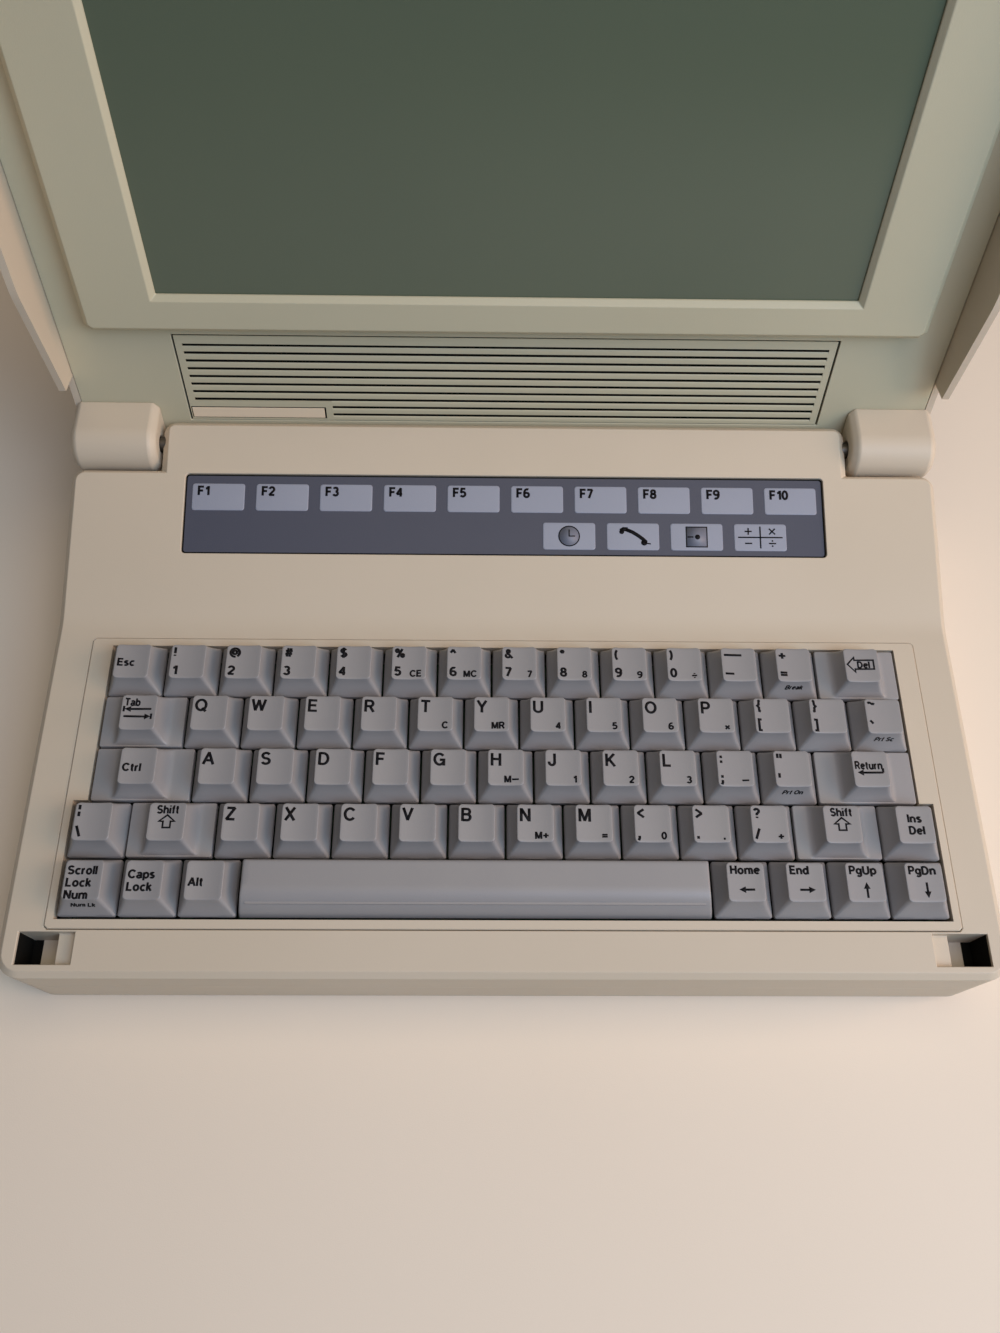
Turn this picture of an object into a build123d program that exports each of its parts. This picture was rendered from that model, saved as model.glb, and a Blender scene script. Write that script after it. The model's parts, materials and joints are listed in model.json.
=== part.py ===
from build123d import *
import os
from math import asin, atan, cos, radians, sin, tan

# A portable computer of the 1980s with a clamshell lid, standing open for typing.
# Millimetres, +X to the right, +Y to the back, +Z up. Everything is drawn from the keyboard:
# z is 0 on the flat deck and y is 0 at the front edge of the keyboard opening. The last step
# moves it all so that the origin is the middle of the outer box, on the table.

# Base, driving sizes
DECK_BESIDE_KEYS = 14.025
DECK_BEFORE_KEYS = 15.1
DECK_BEHIND_KEYS = 6.65
BASE_CORNER_RADIUS = 8.0
BASE_EDGE = 2.0
FOOT_STANDOFF = 2.0
WALL = 3.0
PARTING_BELOW_PLATE = 0.9
BEND_RADIUS = 30.0
REAR_DECK_RISE = 18.0
CENTRE_OVERHANG = 7.0
CENTRE_CORNER_RADIUS = 4.5
CENTRE_EDGE = 2.6
CENTRE_LIP_DEPTH = 8.5
CENTRE_OVERLAP = 12.0
SHOULDER_CORNER_RADIUS = 5.0
REAR_WALL_INSET = 1.0
NOTCH_FLOOR_DEPTH = 3.5
EDGE_TOLERANCE = 0.1

# Hinge and lid, driving sizes
PIVOT_BEHIND_BEND = 69.0
PIVOT_Z = 11.5
LID_OPEN_ANGLE = 105.0
LID_DECK_GAP = 2.3
LID_THICKNESS = 12.2
LID_WALL = 2.5
LID_TAIL = 5.0
LID_EDGE = 3.5
LID_GAP = 0.4
LID_FIT = 0.2
LID_BEZEL_THICKNESS = 2.5
RIM_START = 24.0
LID_POST_RADIUS = 3.5
KNUCKLE_RADIUS = 10.3
KNUCKLE_WIDTH = 31.3
KNUCKLE_EDGE = 2.2
KNUCKLE_FRONT_GAP = 1.6
KNUCKLE_SIDE_GAP = 1.2
PIN_RADIUS = 3.0
PIN_RUNNING_GAP = 0.05
PIN_SEAT_LENGTH = 14.0
PIN_ENGAGEMENT = 18.0
PIN_END_GAP = 1.0
PIN_BOSS_RADIUS = 6.5

# Keyboard, driving sizes
KEY_PITCH = 19.05
KEY_GAP = 0.75
KEY_TOP_HEIGHT = 8.0
KEY_TOP_WIDTH = 12.0
KEY_TOP_DEPTH = 12.7
KEY_TOP_SHIFT = 0.75
KEY_SKIRT_DEPTH = 1.5
KEY_WALL = 1.4
KEY_ROOF = 1.8
KEY_DISH_DEPTH = 0.55
DISH_FLATS = 3
KEY_WING_HEIGHT = 1.0
SPACE_TOP_HEIGHT = 7.4
SPACE_FRONT_HEIGHT = 2.2
SPACE_NOSE_RADIUS = 4.0
SPACE_STABILISER_PITCHES = 3.0
STEM_SIZE = 4.0
STEM_GAP = 0.3
STEM_DEPTH = 9.5
OPENING_MARGIN = 0.6
BEZEL_SIDE = 2.5
BEZEL_END = 2.9
BEZEL_CORNER = 1.0
BEZEL_RISE = 0.5
BEZEL_SEAT = 2.0
BEZEL_SKIRT = 1.5
BEZEL_SKIRT_DEPTH = 5.0
BEZEL_GAP = 0.25
SWITCH_SIZE = 14.0
SWITCH_TOP_DEPTH = 6.0
SWITCH_HEIGHT = 8.0
SWITCH_FLOOR = 0.6
KEY_BOARD_THICKNESS = 1.6
PLATE_THICKNESS = 1.5
PLATE_OVERHANG = 10.0
PLATE_BOSS_RADIUS = 3.5
PLATE_BOSS_INSET = 6.0
PLATE_BOSS_X = 100.0

# Function panel, driving sizes, measured along the slope of the rear deck
PANEL_BEHIND_BEND = 25.4
PANEL_RECESS = 1.0
PANEL_THICKNESS = 0.9
PANEL_CORNER_RADIUS = 1.5
PANEL_GAP = 0.15
PANEL_END_MARGIN = 2.53
PANEL_FRONT_MARGIN = 2.4
PANEL_REAR_MARGIN = 3.5
PAD_COUNT = 10
ICON_PAD_COUNT = 4
ICON_PAD_SHIFT = 5.5
PAD_PITCH = 23.46
PAD_WIDTH = 19.3
PAD_LENGTH = 10.4
PAD_ROW_GAP = 3.7
PAD_RISE = 0.35
PAD_CORNER = 0.8

# Ribbed panel, badge plate and display in the lid, driving sizes measured up from the pivot
RIB_PANEL_SIDE_MARGIN = 42.0
RIB_PANEL_START = 5.2
RIB_PANEL_LENGTH = 36.0
RIB_PANEL_THICKNESS = 1.6
RIB_PANEL_GAP = 0.35
RIB_PITCH = 3.3
RIB_GROOVE = 0.7
RIB_GROOVE_DEPTH = 0.8
RIB_END_MARGIN = 2.8
BADGE_WIDTH = 49.2
BADGE_HEIGHT = 4.2
BADGE_THICKNESS = 0.9
BADGE_MARGIN = 1.0
BADGE_GROOVE_GAP = 3.2
DISPLAY_ABOVE_RIBS = 5.8
DISPLAY_TOP_MARGIN = 10.0
DISPLAY_SIDE_MARGIN = 15.0
DISPLAY_FRAME_RISE = 8.0
DISPLAY_FRAME_CORNER = 2.4
DISPLAY_FRAME_BEVEL = 2.0
WINDOW_SIDE_MARGIN = 27.0
WINDOW_END_MARGIN = 14.0
WINDOW_BEVEL = 1.8
SCREEN_BORDER = 4.0
SCREEN_THICKNESS = 7.0

# Lid latches and their pockets, driving sizes
POCKET_SIDE_MARGIN = 6.2
POCKET_WIDTH = 17.8
POCKET_FRONT_MARGIN = 4.0
POCKET_REAR_MARGIN = 0.9
POCKET_DEPTH = 14.0
POCKET_WALL = 1.6
POCKET_LEDGE = 6.0
POCKET_LEDGE_DEPTH = 3.0
POCKET_LEDGE_THICKNESS = 1.8
LATCH_TRAVEL = 3.5
LATCH_SHANK_WIDTH = 4.0
LATCH_THICKNESS = 3.6
LATCH_TOE = 3.4
LATCH_TOE_HEIGHT = 3.2
LATCH_TOE_GAP = 0.8
LATCH_SIDE_GAP = 0.6
LATCH_SLIDER_WIDTH = 22.0
LATCH_SLIDER_THICKNESS = 5.6
LATCH_SLIDER_OFFSET = 3.0
LATCH_RAIL_THICKNESS = 2.0
LATCH_SLIDER_BOTTOM = 3.0
LATCH_SLIDER_TOP = 15.0
LATCH_THUMB_WIDTH = 12.0
LATCH_THUMB_HEIGHT = 5.0
LATCH_THUMB_RISE = 1.6
LATCH_FIT = 0.3

# Inside the base and on its back and underside, driving sizes
BOARD_THICKNESS = 1.6
BOARD_STANDOFF = 3.4
BOARD_LENGTH = 109.5
BOARD_SIDE_GAP = 11.0
BOARD_REAR_GAP = 3.5
STANDOFF_RADIUS = 3.5
CHIP_COUNT = 6
CHIP_PITCH = 40.0
CHIP_WIDTH = 15.0
CHIP_LENGTH = 36.0
CHIP_HEIGHT = 4.0
BATTERY_WIDTH = 180.0
BATTERY_LENGTH = 50.0
BATTERY_HEIGHT = 14.0
BATTERY_FRONT_GAP = 9.0
BATTERY_TOP_GAP = 1.9
BATTERY_CORNER_RADIUS = 6.0
PORT_HEIGHT = 9.0
PORT_DEPTH = 11.0
PORT_PROUD = 1.2
PORT_SLANT = 1.2
PORT_GAP = 0.3
PARALLEL_PORT_X = -70.0
PARALLEL_PORT_WIDTH = 39.0
SERIAL_PORT_X = 0.0
SERIAL_PORT_WIDTH = 17.0
POWER_JACK_X = 70.0
POWER_JACK_WIDTH = 11.0
POWER_JACK_BORE_RADIUS = 2.8
POWER_JACK_BORE_DEPTH = 8.0
SWITCH_KNOB_BEFORE_REAR = 44.0
SWITCH_KNOB_BELOW_PARTING = 9.0
SWITCH_KNOB_LENGTH = 7.0
SWITCH_KNOB_HEIGHT = 5.0
SWITCH_KNOB_SET_BACK = 0.3
SWITCH_KNOB_TRAVEL = 4.0
SWITCH_KNOB_GAP = 0.3
SWITCH_PLATE_LENGTH = 19.0
SWITCH_PLATE_HEIGHT = 10.0
SWITCH_PLATE_THICKNESS = 2.0
FOOT_WIDTH = 20.0
FOOT_LENGTH = 13.0
FOOT_CORNER = 2.5
FOOT_SEAT = 1.0
FOOT_GAP = 0.1
FOOT_INSET_X = 24.0
FOOT_INSET_Y = 20.0
SCREW_RADIUS = 1.5
SCREW_HEAD_RADIUS = 3.0
SCREW_HEAD_HEIGHT = 2.0
SCREW_COUNTERBORE = 3.0
SCREW_GRIP = 8.0
SCREW_GAP = 0.3
SCREW_END_GAP = 0.5
CASE_POST_RADIUS = 4.0
CASE_SCREW_INSET_X = 9.0
CASE_SCREW_FRONT_INSET = 26.0
CASE_SCREW_BEFORE_BEND = 4.0
CASE_SCREW_REAR_INSET = 22.0
POST_SIDES = 6

# The five rows of keys, front row first: name and width in key pitches
FRONT_ROW = [("scroll_lock", 1), ("caps_lock", 1), ("alt", 1), ("space", 8)]
FRONT_ROW += [("home", 1), ("end", 1), ("page_up", 1), ("page_down", 1)]
SHIFT_ROW = [("backslash", 1), ("left_shift", 1.5)]
SHIFT_ROW += [(letter, 1) for letter in "zxcvbnm"]
SHIFT_ROW += [("comma", 1), ("period", 1), ("slash", 1), ("right_shift", 1.5), ("insert", 1)]
HOME_ROW = [("control", 1.75)]
HOME_ROW += [(letter, 1) for letter in "asdfghjkl"]
HOME_ROW += [("semicolon", 1), ("quote", 1), ("return", 1.75)]
UPPER_ROW = [("tab", 1.5)]
UPPER_ROW += [(letter, 1) for letter in "qwertyuiop"]
UPPER_ROW += [("left_bracket", 1), ("right_bracket", 1), ("tilde", 1)]
NUMBER_ROW = [("escape", 1)]
NUMBER_ROW += [("digit_" + digit, 1) for digit in "1234567890"]
NUMBER_ROW += [("minus", 1), ("equals", 1), ("backspace", 1.5)]
KEY_ROWS = [FRONT_ROW, SHIFT_ROW, HOME_ROW, UPPER_ROW, NUMBER_ROW]
FRONT_ROWS = 2

# Keys that share a node: they are the same moulding and move the same way
COMMAND_KEYS = ["escape", "backslash", "insert", "scroll_lock", "caps_lock", "alt"]
COMMAND_KEYS += ["home", "end", "page_up", "page_down"]
SYMBOL_KEYS = ["minus", "equals", "left_bracket", "right_bracket", "tilde"]
SYMBOL_KEYS += ["semicolon", "quote", "comma", "period", "slash"]
NUMBER_KEYS = ["digit_" + digit for digit in "1234567890"]

# Sizes that follow from the driving ones
KEYBOARD_WIDTH = sum(width for _, width in FRONT_ROW) * KEY_PITCH
OPENING_REAR_Y = len(KEY_ROWS) * KEY_PITCH + 2 * OPENING_MARGIN
OPENING_STEP_Y = FRONT_ROWS * KEY_PITCH + 2 * OPENING_MARGIN
BASE_WIDTH = KEYBOARD_WIDTH + 2 * (OPENING_MARGIN + BEZEL_SIDE + DECK_BESIDE_KEYS)
HALF_BASE = BASE_WIDTH / 2
BASE_FRONT_Y = -BEZEL_END - DECK_BEFORE_KEYS
BEND_Y = OPENING_REAR_Y + BEZEL_END + DECK_BEHIND_KEYS
PIVOT_Y = BEND_Y + PIVOT_BEHIND_BEND
REAR_WALL_Y = PIVOT_Y - REAR_WALL_INSET
CENTRE_REAR_Y = PIVOT_Y + CENTRE_OVERHANG
SHOULDER_REAR_Y = PIVOT_Y - KNUCKLE_RADIUS - KNUCKLE_FRONT_GAP
REAR_SLOPE = REAR_DECK_RISE / (CENTRE_REAR_Y - BEND_Y)
KNUCKLE_INNER_X = HALF_BASE - KNUCKLE_WIDTH
HALF_CENTRE = KNUCKLE_INNER_X - KNUCKLE_SIDE_GAP
PIN_INNER_X = HALF_CENTRE - PIN_SEAT_LENGTH
PIN_OUTER_X = KNUCKLE_INNER_X + PIN_ENGAGEMENT
SWITCH_BOTTOM_Z = -SWITCH_TOP_DEPTH - SWITCH_HEIGHT
PLATE_TOP_Z = SWITCH_BOTTOM_Z - KEY_BOARD_THICKNESS
PLATE_BOTTOM_Z = PLATE_TOP_Z - PLATE_THICKNESS
PARTING_Z = PLATE_BOTTOM_Z - PARTING_BELOW_PLATE
FLOOR_Z = PLATE_BOTTOM_Z - SCREW_HEAD_HEIGHT - BATTERY_TOP_GAP - BATTERY_HEIGHT
BASE_BOTTOM_Z = FLOOR_Z - WALL
BOARD_TOP_Z = FLOOR_Z + BOARD_STANDOFF + BOARD_THICKNESS
BOARD_REAR_Y = REAR_WALL_Y - WALL - BOARD_REAR_GAP
BOARD_WIDTH = BASE_WIDTH - 2 * (WALL + BOARD_SIDE_GAP)
SWITCH_KNOB_Y = REAR_WALL_Y - SWITCH_KNOB_BEFORE_REAR
SWITCH_KNOB_Z = PARTING_Z - SWITCH_KNOB_BELOW_PARTING
PANEL_FRONT_Y = BEND_Y + PANEL_BEHIND_BEND
PANEL_LENGTH = PANEL_FRONT_MARGIN + 2 * PAD_LENGTH + PAD_ROW_GAP + PANEL_REAR_MARGIN
PANEL_WIDTH = (PAD_COUNT - 1) * PAD_PITCH + PAD_WIDTH + 2 * PANEL_END_MARGIN
LID_FACE_Z = REAR_DECK_RISE + LID_DECK_GAP
LID_TOP_Z = LID_FACE_Z + LID_THICKNESS
LID_REAR_Y = PIVOT_Y + LID_TAIL
RIB_PANEL_WIDTH = BASE_WIDTH - 2 * RIB_PANEL_SIDE_MARGIN
DISPLAY_START = RIB_PANEL_START + RIB_PANEL_LENGTH + DISPLAY_ABOVE_RIBS
DISPLAY_END = PIVOT_Y - BASE_FRONT_Y - DISPLAY_TOP_MARGIN
DISPLAY_FACE_Z = LID_FACE_Z - DISPLAY_FRAME_RISE
DISPLAY_FRAME_WIDTH = BASE_WIDTH - 2 * DISPLAY_SIDE_MARGIN
WINDOW_WIDTH = DISPLAY_FRAME_WIDTH - 2 * WINDOW_SIDE_MARGIN
WINDOW_HEIGHT = DISPLAY_END - DISPLAY_START - 2 * WINDOW_END_MARGIN
POCKET_OUTER_X = HALF_BASE - POCKET_SIDE_MARGIN
POCKET_INNER_X = POCKET_OUTER_X - POCKET_WIDTH
POCKET_FRONT_Y = BASE_FRONT_Y + POCKET_FRONT_MARGIN
POCKET_REAR_Y = -BEZEL_END - POCKET_REAR_MARGIN
KEY_HOLE_SIZE = STEM_SIZE + 2 * STEM_GAP


def row_width(row):
    """Width of a row of keys, in key pitches."""
    return sum(width for _, width in row)


def key_places():
    """Name, centre x, centre y and width in pitches of every key."""
    places = []
    for index, row in enumerate(KEY_ROWS):
        x = -row_width(row) * KEY_PITCH / 2
        y = OPENING_MARGIN + (index + 0.5) * KEY_PITCH
        for name, width in row:
            places.append((name, x + width * KEY_PITCH / 2, y, width))
            x += width * KEY_PITCH
    return places


def rear_deck_z(y):
    """Height of the sloping rear deck over the flat deck."""
    return (y - BEND_Y) * REAR_SLOPE


def box_between(x_from, x_to, y_from, y_to, z_from, z_to):
    """A box from its two corners."""
    middle = Pos((x_from + x_to) / 2, (y_from + y_to) / 2, (z_from + z_to) / 2)
    return middle * Box(x_to - x_from, y_to - y_from, z_to - z_from)


def plan_slab(width, y_from, y_to, z_from, z_to, radius):
    """A plate centred on x with rounded corners in plan."""
    outline = RectangleRounded(width, y_to - y_from, radius)
    return extrude(Pos(0, (y_from + y_to) / 2, z_from) * outline, z_to - z_from)


def rod_along_x(x_from, x_to, y, z, radius):
    """A round rod that runs along x."""
    return extrude(Pos(x_from, y, z) * (Plane.YZ * Circle(radius)), x_to - x_from)


def post(x, y, z_from, z_to, radius):
    """A small upright post, screw or screw hole, with flats for its round side."""
    return extrude(Pos(x, y, z_from) * RegularPolygon(radius, POST_SIDES), z_to - z_from)


def cut_rectangle(width, depth, corner):
    """A rectangle with its corners cut off."""
    outline = Rectangle(width, depth)
    return chamfer(outline.vertices(), corner)


def mirrored_pair(shape):
    """The shape and its twin on the other side of the machine."""
    return [shape, mirror(shape, Plane.YZ)]


def opened(shape):
    """Turns a lid piece from the closed lid, where it is drawn, to the open one."""
    hinge = Axis((0, PIVOT_Y, PIVOT_Z), (1, 0, 0))
    return shape.rotate(hinge, -LID_OPEN_ANGLE)


def on_rear_deck(depth=0.0):
    """A plane on the rear deck's slope, with its origin at the bend, sunk by depth."""
    slope = Plane((0, BEND_Y, 0), x_dir=(1, 0, 0), z_dir=(0, -REAR_SLOPE, 1))
    return slope.offset(-depth)


# Helpers for side outlines


def side_face(points):
    """A flat side outline from (y, z) points, drawn in its own plane."""
    return make_face(Polyline(*points, close=True))


def nearest_corner(face, y, z):
    """The corner of a side outline that lies at (y, z)."""
    return face.vertices().sort_by_distance((y, z, 0))[0]


def side_prism(face, half_width):
    """A side outline run out to both sides by half a width."""
    return extrude(Plane.YZ * face, half_width, both=True)


def slope_slab(outline, x_from, from_front, depth_from, depth_to):
    """A plate that lies in the rear deck's slope, measured along it from the function panel's front."""
    start = (PANEL_FRONT_Y - BEND_Y) / cos(atan(REAR_SLOPE)) + from_front
    size = outline.bounding_box().size
    placed = Pos(x_from + size.X / 2, start + size.Y / 2, 0) * outline
    return extrude(on_rear_deck(depth_to) * placed, depth_to - depth_from)


# Base shells


def shoulder_face(bottom_z):
    """Side outline of the base at its full width, with the notches for the hinge blocks."""
    face = side_face(
        [
            (BASE_FRONT_Y, bottom_z),
            (BASE_FRONT_Y, 0),
            (BEND_Y, 0),
            (SHOULDER_REAR_Y, rear_deck_z(SHOULDER_REAR_Y)),
            (SHOULDER_REAR_Y, -NOTCH_FLOOR_DEPTH),
            (REAR_WALL_Y, -NOTCH_FLOOR_DEPTH),
            (REAR_WALL_Y, bottom_z),
        ]
    )
    return fillet(nearest_corner(face, BEND_Y, 0), BEND_RADIUS)


def centre_face(front_y, bottom_z):
    """Side outline of the middle of the rear deck, which reaches back between the hinge blocks."""
    return side_face(
        [
            (front_y, bottom_z),
            (front_y, rear_deck_z(front_y)),
            (CENTRE_REAR_Y, REAR_DECK_RISE),
            (CENTRE_REAR_Y, REAR_DECK_RISE - CENTRE_LIP_DEPTH),
            (REAR_WALL_Y, -NOTCH_FLOOR_DEPTH),
            (REAR_WALL_Y, bottom_z),
        ]
    )


def shoulder_outer():
    """The base above the parting line at its full width, with rounded corners and bevelled edges."""
    body = side_prism(shoulder_face(PARTING_Z), HALF_BASE)
    body = body & plan_slab(
        BASE_WIDTH, BASE_FRONT_Y, REAR_WALL_Y, PARTING_Z, REAR_DECK_RISE, BASE_CORNER_RADIUS
    )
    corners = [
        edge
        for edge in body.edges().filter_by(Axis.Z)
        if abs(edge.center().Y - SHOULDER_REAR_Y) < EDGE_TOLERANCE
    ]
    body = fillet(corners, SHOULDER_CORNER_RADIUS)
    rim = []
    for edge in body.edges():
        middle = edge.position_at(0.5)
        on_side = abs(abs(middle.X) - HALF_BASE) < BASE_CORNER_RADIUS
        at_front = middle.Y < BASE_FRONT_Y + BASE_CORNER_RADIUS
        at_rear = abs(middle.Y - SHOULDER_REAR_Y) < SHOULDER_CORNER_RADIUS / 2
        on_top = edge.position_at(0).Z > -EDGE_TOLERANCE and edge.position_at(1).Z > -EDGE_TOLERANCE
        if on_top and (on_side or at_front or at_rear):
            rim.append(edge)
    return chamfer(rim, BASE_EDGE)


def centre_outer():
    """The raised middle of the base's rear, with rounded rear corners and bevelled top edges."""
    front_y = SHOULDER_REAR_Y - CENTRE_OVERLAP
    body = side_prism(centre_face(front_y, PARTING_Z), HALF_CENTRE)
    corners = [
        edge
        for edge in body.edges().filter_by(Axis.Z)
        if abs(edge.center().Y - CENTRE_REAR_Y) < EDGE_TOLERANCE
    ]
    body = fillet(corners, CENTRE_CORNER_RADIUS)
    rim = []
    for edge in body.edges():
        middle = edge.position_at(0.5)
        on_slope = abs(middle.Z - rear_deck_z(middle.Y)) < EDGE_TOLERANCE
        if on_slope and middle.Y > front_y + EDGE_TOLERANCE:
            rim.append(edge)
    return chamfer(rim, CENTRE_EDGE)


def base_hollow():
    """The space inside the walls of the upper shell, open below."""
    low = PARTING_Z - 2 * WALL
    shoulders = offset(shoulder_face(low), -WALL, kind=Kind.INTERSECTION)
    middle = centre_face(SHOULDER_REAR_Y - CENTRE_OVERLAP, low)
    middle = offset(middle, -WALL, kind=Kind.INTERSECTION)
    return side_prism(shoulders, HALF_BASE - WALL) + side_prism(middle, HALF_CENTRE - WALL)


def opening_block(grow, z_from, z_to):
    """The stepped outline of the keyboard opening, grown all round, as a solid."""
    half_front = KEYBOARD_WIDTH / 2 + OPENING_MARGIN + grow
    half_rear = row_width(KEY_ROWS[-1]) * KEY_PITCH / 2 + OPENING_MARGIN + grow
    front = box_between(-half_front, half_front, -grow, OPENING_STEP_Y + grow, z_from, z_to)
    rear = box_between(-half_rear, half_rear, -grow, OPENING_REAR_Y + grow, z_from, z_to)
    return front + rear


def bezel_block(grow, z_from, z_to):
    """The keyboard bezel's outline, grown all round, as a solid."""
    width = KEYBOARD_WIDTH + 2 * (OPENING_MARGIN + BEZEL_SIDE + grow)
    length = OPENING_REAR_Y + 2 * (BEZEL_END + grow)
    outline = cut_rectangle(width, length, BEZEL_CORNER)
    return extrude(Pos(0, OPENING_REAR_Y / 2, z_from) * outline, z_to - z_from)


def latch_pocket_wall():
    """The closed box under the deck round the right latch pocket."""
    return box_between(
        POCKET_INNER_X - POCKET_WALL,
        POCKET_OUTER_X + POCKET_WALL,
        POCKET_FRONT_Y - POCKET_WALL,
        POCKET_REAR_Y + POCKET_WALL,
        -POCKET_DEPTH - POCKET_WALL,
        -WALL / 2,
    )


def latch_pocket():
    """The space of the right latch pocket: deep outside, and undercut below a ledge inside."""
    front_y = POCKET_FRONT_Y
    ledge_x = POCKET_INNER_X + POCKET_LEDGE
    mouth = box_between(
        POCKET_INNER_X, POCKET_OUTER_X, front_y, POCKET_REAR_Y, -POCKET_LEDGE_DEPTH, WALL
    )
    deep = box_between(ledge_x, POCKET_OUTER_X, front_y, POCKET_REAR_Y, -POCKET_DEPTH, 0)
    undercut_top = -POCKET_LEDGE_DEPTH - POCKET_LEDGE_THICKNESS
    undercut = box_between(
        POCKET_INNER_X, ledge_x, front_y, POCKET_REAR_Y, -POCKET_DEPTH, undercut_top
    )
    return mouth + deep + undercut


def keyboard_screw_places():
    """Where the keyboard plate is screwed to the deck, as (x, y)."""
    front_y = -PLATE_BOSS_INSET
    rear_y = OPENING_REAR_Y + PLATE_BOSS_INSET
    return [(x, y) for x in (-PLATE_BOSS_X, 0, PLATE_BOSS_X) for y in (front_y, rear_y)]


def case_screw_places():
    """Where the case screws stand, as (x, y)."""
    x = HALF_BASE - CASE_SCREW_INSET_X
    front_y = BASE_FRONT_Y + CASE_SCREW_FRONT_INSET
    rows = (front_y, BEND_Y - CASE_SCREW_BEFORE_BEND, REAR_WALL_Y - CASE_SCREW_REAR_INSET)
    return [(side * x, y) for side in (-1, 1) for y in rows]


def base_upper_shell():
    """Deck, rear deck and upper walls, with pockets, panel recess, screw posts and hinge bosses."""
    outside = shoulder_outer() + centre_outer()
    shell = outside - base_hollow()
    for x, y in case_screw_places():
        shell += post(x, y, PARTING_Z, max(0.0, rear_deck_z(y)) - WALL / 2, CASE_POST_RADIUS)
    for x, y in keyboard_screw_places():
        shell += post(x, y, PLATE_TOP_Z, -WALL / 2, PLATE_BOSS_RADIUS)
    boss = rod_along_x(PIN_INNER_X, HALF_CENTRE - WALL / 2, PIVOT_Y, PIVOT_Z, PIN_BOSS_RADIUS)
    for side in mirrored_pair(boss & outside):
        shell += side
    for side in mirrored_pair(latch_pocket_wall() & outside):
        shell += side
    for side in mirrored_pair(latch_pocket()):
        shell -= side
    shell -= opening_block(BEZEL_SKIRT + BEZEL_GAP, -BEZEL_SKIRT_DEPTH, WALL)
    shell -= bezel_block(BEZEL_GAP, -BEZEL_SEAT, WALL)
    recess = PANEL_RECESS + PANEL_THICKNESS
    shell -= slope_slab(panel_outline(PANEL_GAP), -PANEL_WIDTH / 2 - PANEL_GAP, -PANEL_GAP, -WALL, recess)
    pin_hole = rod_along_x(PIN_INNER_X, HALF_CENTRE + WALL, PIVOT_Y, PIVOT_Z, PIN_RADIUS)
    for side in mirrored_pair(pin_hole):
        shell -= side
    for x, y in case_screw_places():
        shell -= post(x, y, PARTING_Z, PARTING_Z + SCREW_GRIP, SCREW_RADIUS)
    for x, y in keyboard_screw_places():
        shell -= post(x, y, PLATE_TOP_Z, -WALL, SCREW_RADIUS)
    return shell


def port_outlines():
    """Centre x, width and kind of the three sockets on the back."""
    return [
        (PARALLEL_PORT_X, PARALLEL_PORT_WIDTH, PORT_SLANT),
        (SERIAL_PORT_X, SERIAL_PORT_WIDTH, PORT_SLANT),
        (POWER_JACK_X, POWER_JACK_WIDTH, 0.0),
    ]


def port_body(x, width, slant, grow, y_from, y_to):
    """A socket's shell: wider at the bottom where the kind has slanted ends."""
    half = width / 2 + grow
    low = BOARD_TOP_Z - grow
    high = BOARD_TOP_Z + PORT_HEIGHT + grow
    corners = [(x - half, low), (x + half, low), (x + half - slant, high), (x - half + slant, high)]
    outline = make_face(Polyline(*corners, close=True))
    return extrude(Pos(0, y_to, 0) * (Plane.XZ * outline), y_to - y_from)


def power_knob(grow, travel, reach):
    """The part of the power switch that reaches through the right wall, or its window."""
    half_height = SWITCH_KNOB_HEIGHT / 2 + grow
    inner_x = HALF_BASE - WALL - SWITCH_KNOB_GAP
    return box_between(
        inner_x,
        HALF_BASE + reach,
        SWITCH_KNOB_Y - SWITCH_KNOB_LENGTH / 2 - grow,
        SWITCH_KNOB_Y + SWITCH_KNOB_LENGTH / 2 + grow + travel,
        SWITCH_KNOB_Z - half_height,
        SWITCH_KNOB_Z + half_height,
    )


def foot_places():
    """Where the four rubber feet sit, as (x, y)."""
    x = HALF_BASE - FOOT_INSET_X
    rows = (BASE_FRONT_Y + FOOT_INSET_Y, REAR_WALL_Y - FOOT_INSET_Y)
    return [(side * x, y) for side in (-1, 1) for y in rows]


def base_lower_shell():
    """The tray under the machine, with posts, standoffs and the cut-outs of the rear and side."""
    body = plan_slab(BASE_WIDTH, BASE_FRONT_Y, REAR_WALL_Y, BASE_BOTTOM_Z, PARTING_Z, BASE_CORNER_RADIUS)
    bottom = body.faces().sort_by(Axis.Z)[0]
    body = chamfer(bottom.edges(), BASE_EDGE)
    shell = body - plan_slab(
        BASE_WIDTH - 2 * WALL,
        BASE_FRONT_Y + WALL,
        REAR_WALL_Y - WALL,
        FLOOR_Z,
        PARTING_Z + WALL,
        BASE_CORNER_RADIUS - WALL,
    )
    for x, y in case_screw_places():
        shell += post(x, y, FLOOR_Z - WALL / 2, PARTING_Z, CASE_POST_RADIUS)
    for x, y in board_standoff_places():
        shell += post(x, y, FLOOR_Z - WALL / 2, FLOOR_Z + BOARD_STANDOFF, STANDOFF_RADIUS)
    for x, y in case_screw_places():
        shell -= post(x, y, BASE_BOTTOM_Z, BASE_BOTTOM_Z + SCREW_COUNTERBORE, SCREW_HEAD_RADIUS + SCREW_GAP)
        shell -= post(x, y, BASE_BOTTOM_Z, PARTING_Z, SCREW_RADIUS)
    for x, y in foot_places():
        shell -= Pos(x, y, BASE_BOTTOM_Z) * foot_block(FOOT_GAP, FOOT_SEAT)
    for x, width, slant in port_outlines():
        shell -= port_body(x, width, slant, PORT_GAP, REAR_WALL_Y - 2 * WALL, REAR_WALL_Y + WALL)
    shell -= power_knob(SWITCH_KNOB_GAP, SWITCH_KNOB_TRAVEL, WALL)
    return shell


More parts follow.
